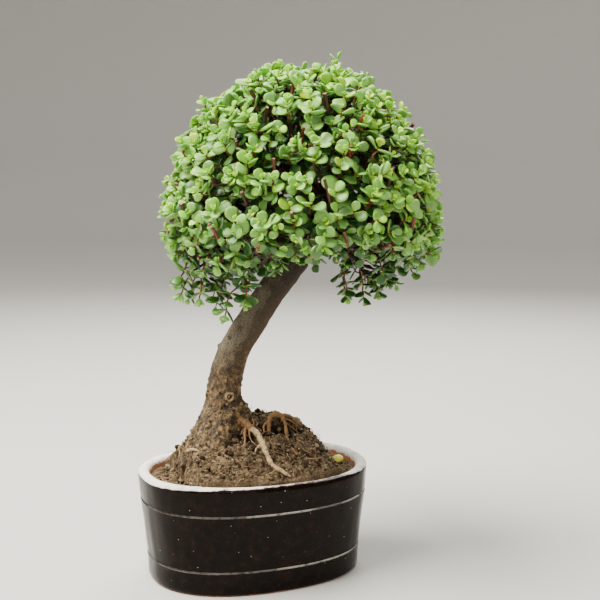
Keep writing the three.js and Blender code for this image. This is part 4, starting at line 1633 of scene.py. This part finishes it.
class Habit(Enum):
    """How a shoot carries each pair of leaves: distance from its tip, tilt, share of the length."""

    ROSETTE = ((0.0, 0.5, 0.3), (1.2, 1.05, 0.8), (3.6, 1.35, 1.0))
    OPEN = ((0.0, 0.55, 0.42), (2.4, 1.05, 0.82), (6.6, 1.35, 1.0), (12.5, 1.6, 0.95))
    BARE = ((1.0, 1.0, 0.75), (4.5, 1.4, 1.0))
    LONG = (
        (0.0, 0.45, 0.4), (3.2, 0.9, 0.72), (8.0, 1.2, 0.95), (14.0, 1.45, 1.0), (21.0, 1.6, 0.9)
    )
    INNER = ((1.8, 1.05, 0.8), (5.2, 1.35, 1.0), (10.5, 1.6, 1.0))


OUTER_HABITS = (Habit.ROSETTE, Habit.OPEN, Habit.OPEN, Habit.BARE)


@dataclass
class Shoot:
    """One leafy shoot of the crown.

    Args:
        tip: Where it ends.
        axis: The way it points.
        spray: The number of the spray that it belongs to.
        size: Scale of its leaves.
        habit: How its leaves are set.
    """

    tip: Vector
    axis: Vector
    spray: int
    size: float
    habit: Habit


@dataclass
class Sprays:
    """The leafy sprays of the crown: shoots with pairs of leaves, and cut stubs among them."""

    crown: Crown
    outer_count: int = 640
    inner_count: int = 280
    stub_count: int = 84
    leaf_length: float = 12.2
    # Tips of the shoots that stand above the dome, and of those that hang below its skirt
    high_tips: tuple[Triple, ...] = (
        (74, 0, 421), (70, -6, 414), (24, 0, 413), (-2, -20, 404), (58, -34, 408), (98, -8, 405),
        (120, 0, 391), (-40, 0, 383), (-60, -8, 352), (148, -8, 360), (163, -6, 322),
        (-72, -14, 300)
    )
    low_tips: tuple[Triple, ...] = (
        (-33, -24, 213), (-36, -14, 222), (-50, -14, 226), (-61, 2, 229), (-20, -38, 226),
        (-67, -12, 240), (92, -18, 221), (70, -32, 225), (110, -8, 224), (128, -4, 231),
        (142, -12, 240), (96, 24, 220), (-24, 34, 222), (-46, 28, 224)
    )
    draw: random.Random = field(default_factory=lambda: random.Random(23))

    def wander(self, axis: Vector, amount: float) -> Vector:
        """Turns a direction aside at random.

        Args:
            axis: The direction to start from.
            amount: How far it may turn.

        Returns:
            The new direction.
        """
        aside = Vector([self.draw.gauss(0, 1) for _ in range(3)])
        return (axis + aside * (amount / 1.7)).normalized()

    def nearest_spray(self, place: Vector) -> int:
        """The number of the spray nearest to a place."""
        tips = [
            self.crown.point(self.crown.spray_direction(i), 0.85)
            for i in range(self.crown.spray_count)
        ]
        return min(range(len(tips)), key=lambda i: (tips[i] - place).length_squared)

    def shoots(self) -> list[Shoot]:
        """Plans all the shoots.

        Returns:
            The outer shoots and then the inner ones.
        """
        found = []
        layers = ((self.outer_count, 2.0, 10.0, True), (self.inner_count, 22.0, 16.0, False))
        for count, least, spread, outer in layers:
            for i in range(count):
                direction = self.crown.spiral(i, count, 0.74, -0.86, self.draw.uniform(0.1, 0.9))
                direction = self.wander(direction, 0.06)
                outward = self.crown.outward(direction)
                outline = self.crown.surface(direction)
                lumps = 6.0 * grain(outline, 34) + 3.0 * grain(outline, 15)
                sunk = least + spread * self.draw.random() ** 1.4 - lumps
                tip = self.crown.point(direction, 1.0) - outward * max(0.0, sunk)
                lift = 0.5 if direction.z > -0.1 else 0.05
                axis = self.wander((outward + Vector((0, 0, lift))).normalized(), 0.45)
                habit = self.draw.choice(OUTER_HABITS) if outer else Habit.INNER
                found.append(
                    Shoot(tip, axis, self.nearest_spray(tip), self.draw.uniform(0.72, 1.12), habit)
                )
        for tips, lift in ((self.high_tips, 0.9), (self.low_tips, -1.3)):
            for place in tips:
                tip = Vector(place)
                outward = self.crown.outward((tip - self.crown.centre).normalized())
                axis = self.wander((outward + Vector((0, 0, lift))).normalized(), 0.2)
                found.append(
                    Shoot(
                        tip, axis, self.nearest_spray(tip), self.draw.uniform(0.85, 1.05),
                        Habit.LONG
                    )
                )
        return found

    def leaf_place(
        self, node: Vector, axis: Vector, angle: float, tilt: float, length: float, roll: float
    ) -> Matrix:
        """Places a leaf on its shoot.

        Args:
            node: Where it grows from.
            axis: The way the shoot points.
            angle: Turn round the shoot.
            tilt: Angle between the shoot and the leaf.
            length: The leaf's length.
            roll: Turn of the blade round its own length.

        Returns:
            The placing matrix.
        """
        aside = axis.orthogonal().normalized()
        outward = Matrix.Rotation(angle, 3, axis) @ aside
        across = axis.cross(outward)
        along = axis * math.cos(tilt) + outward * math.sin(tilt)
        up = along.cross(across)
        columns = Matrix((along * length, across * length, up * length)).transposed()
        return Matrix.Translation(node) @ columns.to_4x4() @ Matrix.Rotation(roll, 4, "X")

    def leaves_of(self, shoot: Shoot, shapes: list[bpy.types.Mesh]) -> list[Copy]:
        """Sets pairs of leaves on a shoot, each pair crosswise to the last.

        Args:
            shoot: The shoot.
            shapes: The leaf meshes to choose from.

        Returns:
            The placed leaves.
        """
        draw = self.draw
        start = draw.uniform(0, math.pi)
        deep = shoot.habit is Habit.INNER
        copies = []
        for k, (back, tilt, share) in enumerate(shoot.habit.value):
            for half in range(2):
                if draw.random() < 0.07:
                    continue
                angle = start + k * math.pi / 2 + half * math.pi + draw.gauss(0, 0.16)
                length = self.leaf_length * shoot.size * share * draw.uniform(0.84, 1.12)
                node = shoot.tip - shoot.axis * back
                lean = tilt + draw.gauss(0, 0.18)
                place = self.leaf_place(node, shoot.axis, angle, lean, length, draw.gauss(0, 0.22))
                age = 0.1 if share < 0.5 else (0.35 if share < 0.9 else 0.58)
                # Leaves low on the crown, deep inside it or on inner shoots get a darker tone:
                # painted shade
                shade = 0.35 * deep + 0.42 * (1 - smoothstep(225, 320, node.z))
                shade += 0.4 * smoothstep(0.05, 0.2, self.crown.depth(node))
                tone = min(1.0, max(0.0, draw.gauss(age, 0.15) + shade))
                copies.append(Copy(draw.choice(shapes), place, tone))
        return copies

    def stem_shape(self) -> bpy.types.Mesh:
        """Models one thin bent stem, a millimetre thick and long, with a swollen node."""
        offsets = [(0, 0), (1.2, 0.5), (1.8, -0.3), (0.4, -1.2), (-1.0, -0.6), (-0.6, 0.2), (0, 0)]
        radii = [1.2, 1.15, 1.1, 1.3, 1.0, 0.95, 0.6]
        return template_from(skin("stem", column(offsets, radii, 6)))

    def stub_shape(self) -> bpy.types.Mesh:
        """Models one cut stub, a millimetre thick and long, with rings and a flat end."""
        offsets = [(0, 0), (0.3, 0), (0.4, 0.1), (0.2, 0.2), (0.1, 0.1), (0, 0), (0, 0)]
        radii = [1.0, 0.95, 1.12, 0.92, 1.1, 0.95, 1.05]
        return template_from(skin("stub", column(offsets, radii, 9), crease=40))

    def stems_of(self, shoot: Shoot, stem: bpy.types.Mesh) -> list[Copy]:
        """Runs a stem from the spray's start to a shoot, and up the shoot.

        Args:
            shoot: The shoot.
            stem: The stem's mesh.

        Returns:
            The two placed stems.
        """
        direction = self.crown.spray_direction(shoot.spray)
        start = self.crown.point(direction, self.crown.twig_reach)
        start = start + self.crown.surface(direction).normalized() * 3
        reach = 22.0 if shoot.habit is Habit.LONG else 13.0
        foot = shoot.tip - shoot.axis * reach
        turn = self.draw.uniform(0, math.tau)
        lower = foot - start
        young = self.draw.uniform(0.35, 0.8)
        return [
            Copy(stem, aimed(start, lower.normalized(), turn, 1.0, lower.length), 0.2),
            Copy(stem, aimed(foot, shoot.axis, turn, 0.62, reach), young)
        ]

    def stubs(self, stub: bpy.types.Mesh) -> list[tuple[int, Copy]]:
        """Sets cut stubs between the shoots.

        Args:
            stub: The stub's mesh.

        Returns:
            The number of the spray and the placed stub, for each.
        """
        found = []
        for i in range(self.stub_count):
            direction = self.crown.spiral(
                i, self.stub_count, 0.85, -0.5, self.draw.uniform(0.1, 0.9)
            )
            outward = self.crown.outward(direction)
            axis = self.wander((outward + Vector((0, 0, 0.8))).normalized(), 0.4)
            tip = self.crown.point(direction, 1.0) - outward * self.draw.uniform(0.0, 8.0)
            length = self.draw.uniform(12, 18)
            place = aimed(tip - axis * length, axis, 0.0, self.draw.uniform(1.1, 1.65), length)
            found.append((self.nearest_spray(tip), Copy(stub, place, self.draw.uniform(0.25, 0.7))))
        return found

    def make(self) -> None:
        """Builds and dresses every spray."""
        leaf_finish = LeafFinish().build()
        shoot_finish = ShootFinish().build()
        shapes = [Leaf(shape).build() for shape in LeafShape]
        stem, stub = self.stem_shape(), self.stub_shape()
        leaves: dict[int, list[Copy]] = {i: [] for i in range(self.crown.spray_count)}
        stems: dict[int, list[Copy]] = {i: [] for i in range(self.crown.spray_count)}
        for shoot in self.shoots():
            leaves[shoot.spray] += self.leaves_of(shoot, shapes)
            stems[shoot.spray] += self.stems_of(shoot, stem)
        for spray, copy in self.stubs(stub):
            stems[spray].append(copy)
        for i in range(self.crown.spray_count):
            node = f"spray_{i + 1:02d}"
            hand_over(placed(node + "_leaves", leaves[i]), "leaf", [node], leaf_finish)
            hand_over(placed(node + "_shoots", stems[i]), "bark", [node], shoot_finish)


@dataclass
class FallenLeaf:
    """The yellow leaf that lies tilted on the soil by the wall."""

    place: Triple = (67.4, -0.2, 83.3)
    along: Triple = (0.927, -0.375, 0.04)
    face: Triple = (-0.2, -0.42, 0.88)
    length: float = 13.2

    def make(self) -> None:
        """Builds and dresses the fallen leaf."""
        shape = Leaf(LeafShape.LONG, thickness=0.17).build()
        along, face = Vector(self.along).normalized(), Vector(self.face).normalized()
        across = face.cross(along).normalized()
        columns = Matrix((along, across, along.cross(across))).transposed() * self.length
        leaf = placed(
            "fallen_leaf_blade",
            [Copy(shape, Matrix.Translation(self.place) @ columns.to_4x4(), 0.0)]
        )
        finish = LeafFinish(
            name="yellowed_leaf", young="#D2C62C", margin="#DFD769", foot="#C9A23A",
            middle="#D2C62C"
        )
        hand_over(leaf, "yellow_leaf", ["fallen_leaf"], finish.build())


# The studio


@dataclass
class Studio:
    """Pale floor, soft lights and the camera."""

    camera_place: Triple = (-298.9, -842.7, 333.8)
    target: Triple = (35.7, -14.4, 224.1)
    lens: float = 66.2

    def floor(self) -> None:
        """Lays a pale floor that curves up far away on every side."""
        outline = [
            (0, 0), (2200, 0), (3000, 60), (3600, 350), (3900, 900), (4000, 2000), (4000, 4200)
        ]
        rings = [
            [
                (radius * math.cos(angle), radius * math.sin(angle), height)
                for angle in ring_angles(96)
            ] for radius,
            height in outline
        ]
        floor = skin("studio_floor", np.array(rings), crease=180)
        material, _, surface = new_material("pale_paper")
        feed(surface, {"Base Color": "#D2CFCA", "Roughness": 0.9})
        floor.data.materials.append(material)

    def light(self, name: str, place: Triple, size: float, power: float, colour: str) -> None:
        """Hangs one soft square light that faces the tree.

        Args:
            name: The light's name.
            place: Where it hangs, in millimetres.
            size: Its width in metres.
            power: Its power in watts.
            colour: Its colour.
        """
        data = bpy.data.lights.new(name, "AREA")
        data.size = size
        data.energy = power
        data.color = linear(colour)[:3]
        lamp = bpy.data.objects.new(name, data)
        lamp.location = Vector(place) * MM
        lamp.rotation_euler = (
            Vector(self.target) - Vector(place)
        ).to_track_quat("-Z", "Y").to_euler()
        bpy.context.scene.collection.objects.link(lamp)

    def make(self) -> None:
        """Sets up the floor, the world, the lights and the camera."""
        self.floor()
        world = bpy.data.worlds.new("studio_air")
        world.use_nodes = True
        feed(world.node_tree.nodes["Background"], {"Color": "#E9F0F5", "Strength": 0.36})
        bpy.context.scene.world = world
        self.light("key", (-650, 50, 1650), 1.2, 102, "#FFFBF2")
        self.light("fill", (-600, -1700, 1000), 1.4, 9, "#F2F6FF")
        self.light("rim", (700, 1000, 1200), 1.0, 26, "#FFFDF4")
        data = bpy.data.cameras.new("photo_camera")
        data.lens = self.lens
        data.sensor_width = 36.0
        data.clip_end = 50.0
        camera = bpy.data.objects.new("photo_camera", data)
        camera.location = Vector(self.camera_place) * MM
        look = Vector(self.target) - Vector(self.camera_place)
        camera.rotation_euler = look.to_track_quat("-Z", "Y").to_euler()
        bpy.context.scene.collection.objects.link(camera)
        bpy.context.scene.camera = camera


def main() -> None:
    """Builds every part of the tree in order."""
    logging.basicConfig(level=logging.INFO, format="%(message)s")
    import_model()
    crown = Crown()
    soil = Soil()
    Pot().make()
    DrainScreens().make()
    soil.make()
    Trunk(crown, soil).make()
    Roots(soil).make()
    Sprays(crown).make()
    FallenLeaf().make()
    Studio().make()


if __name__ == "__main__":
    main()
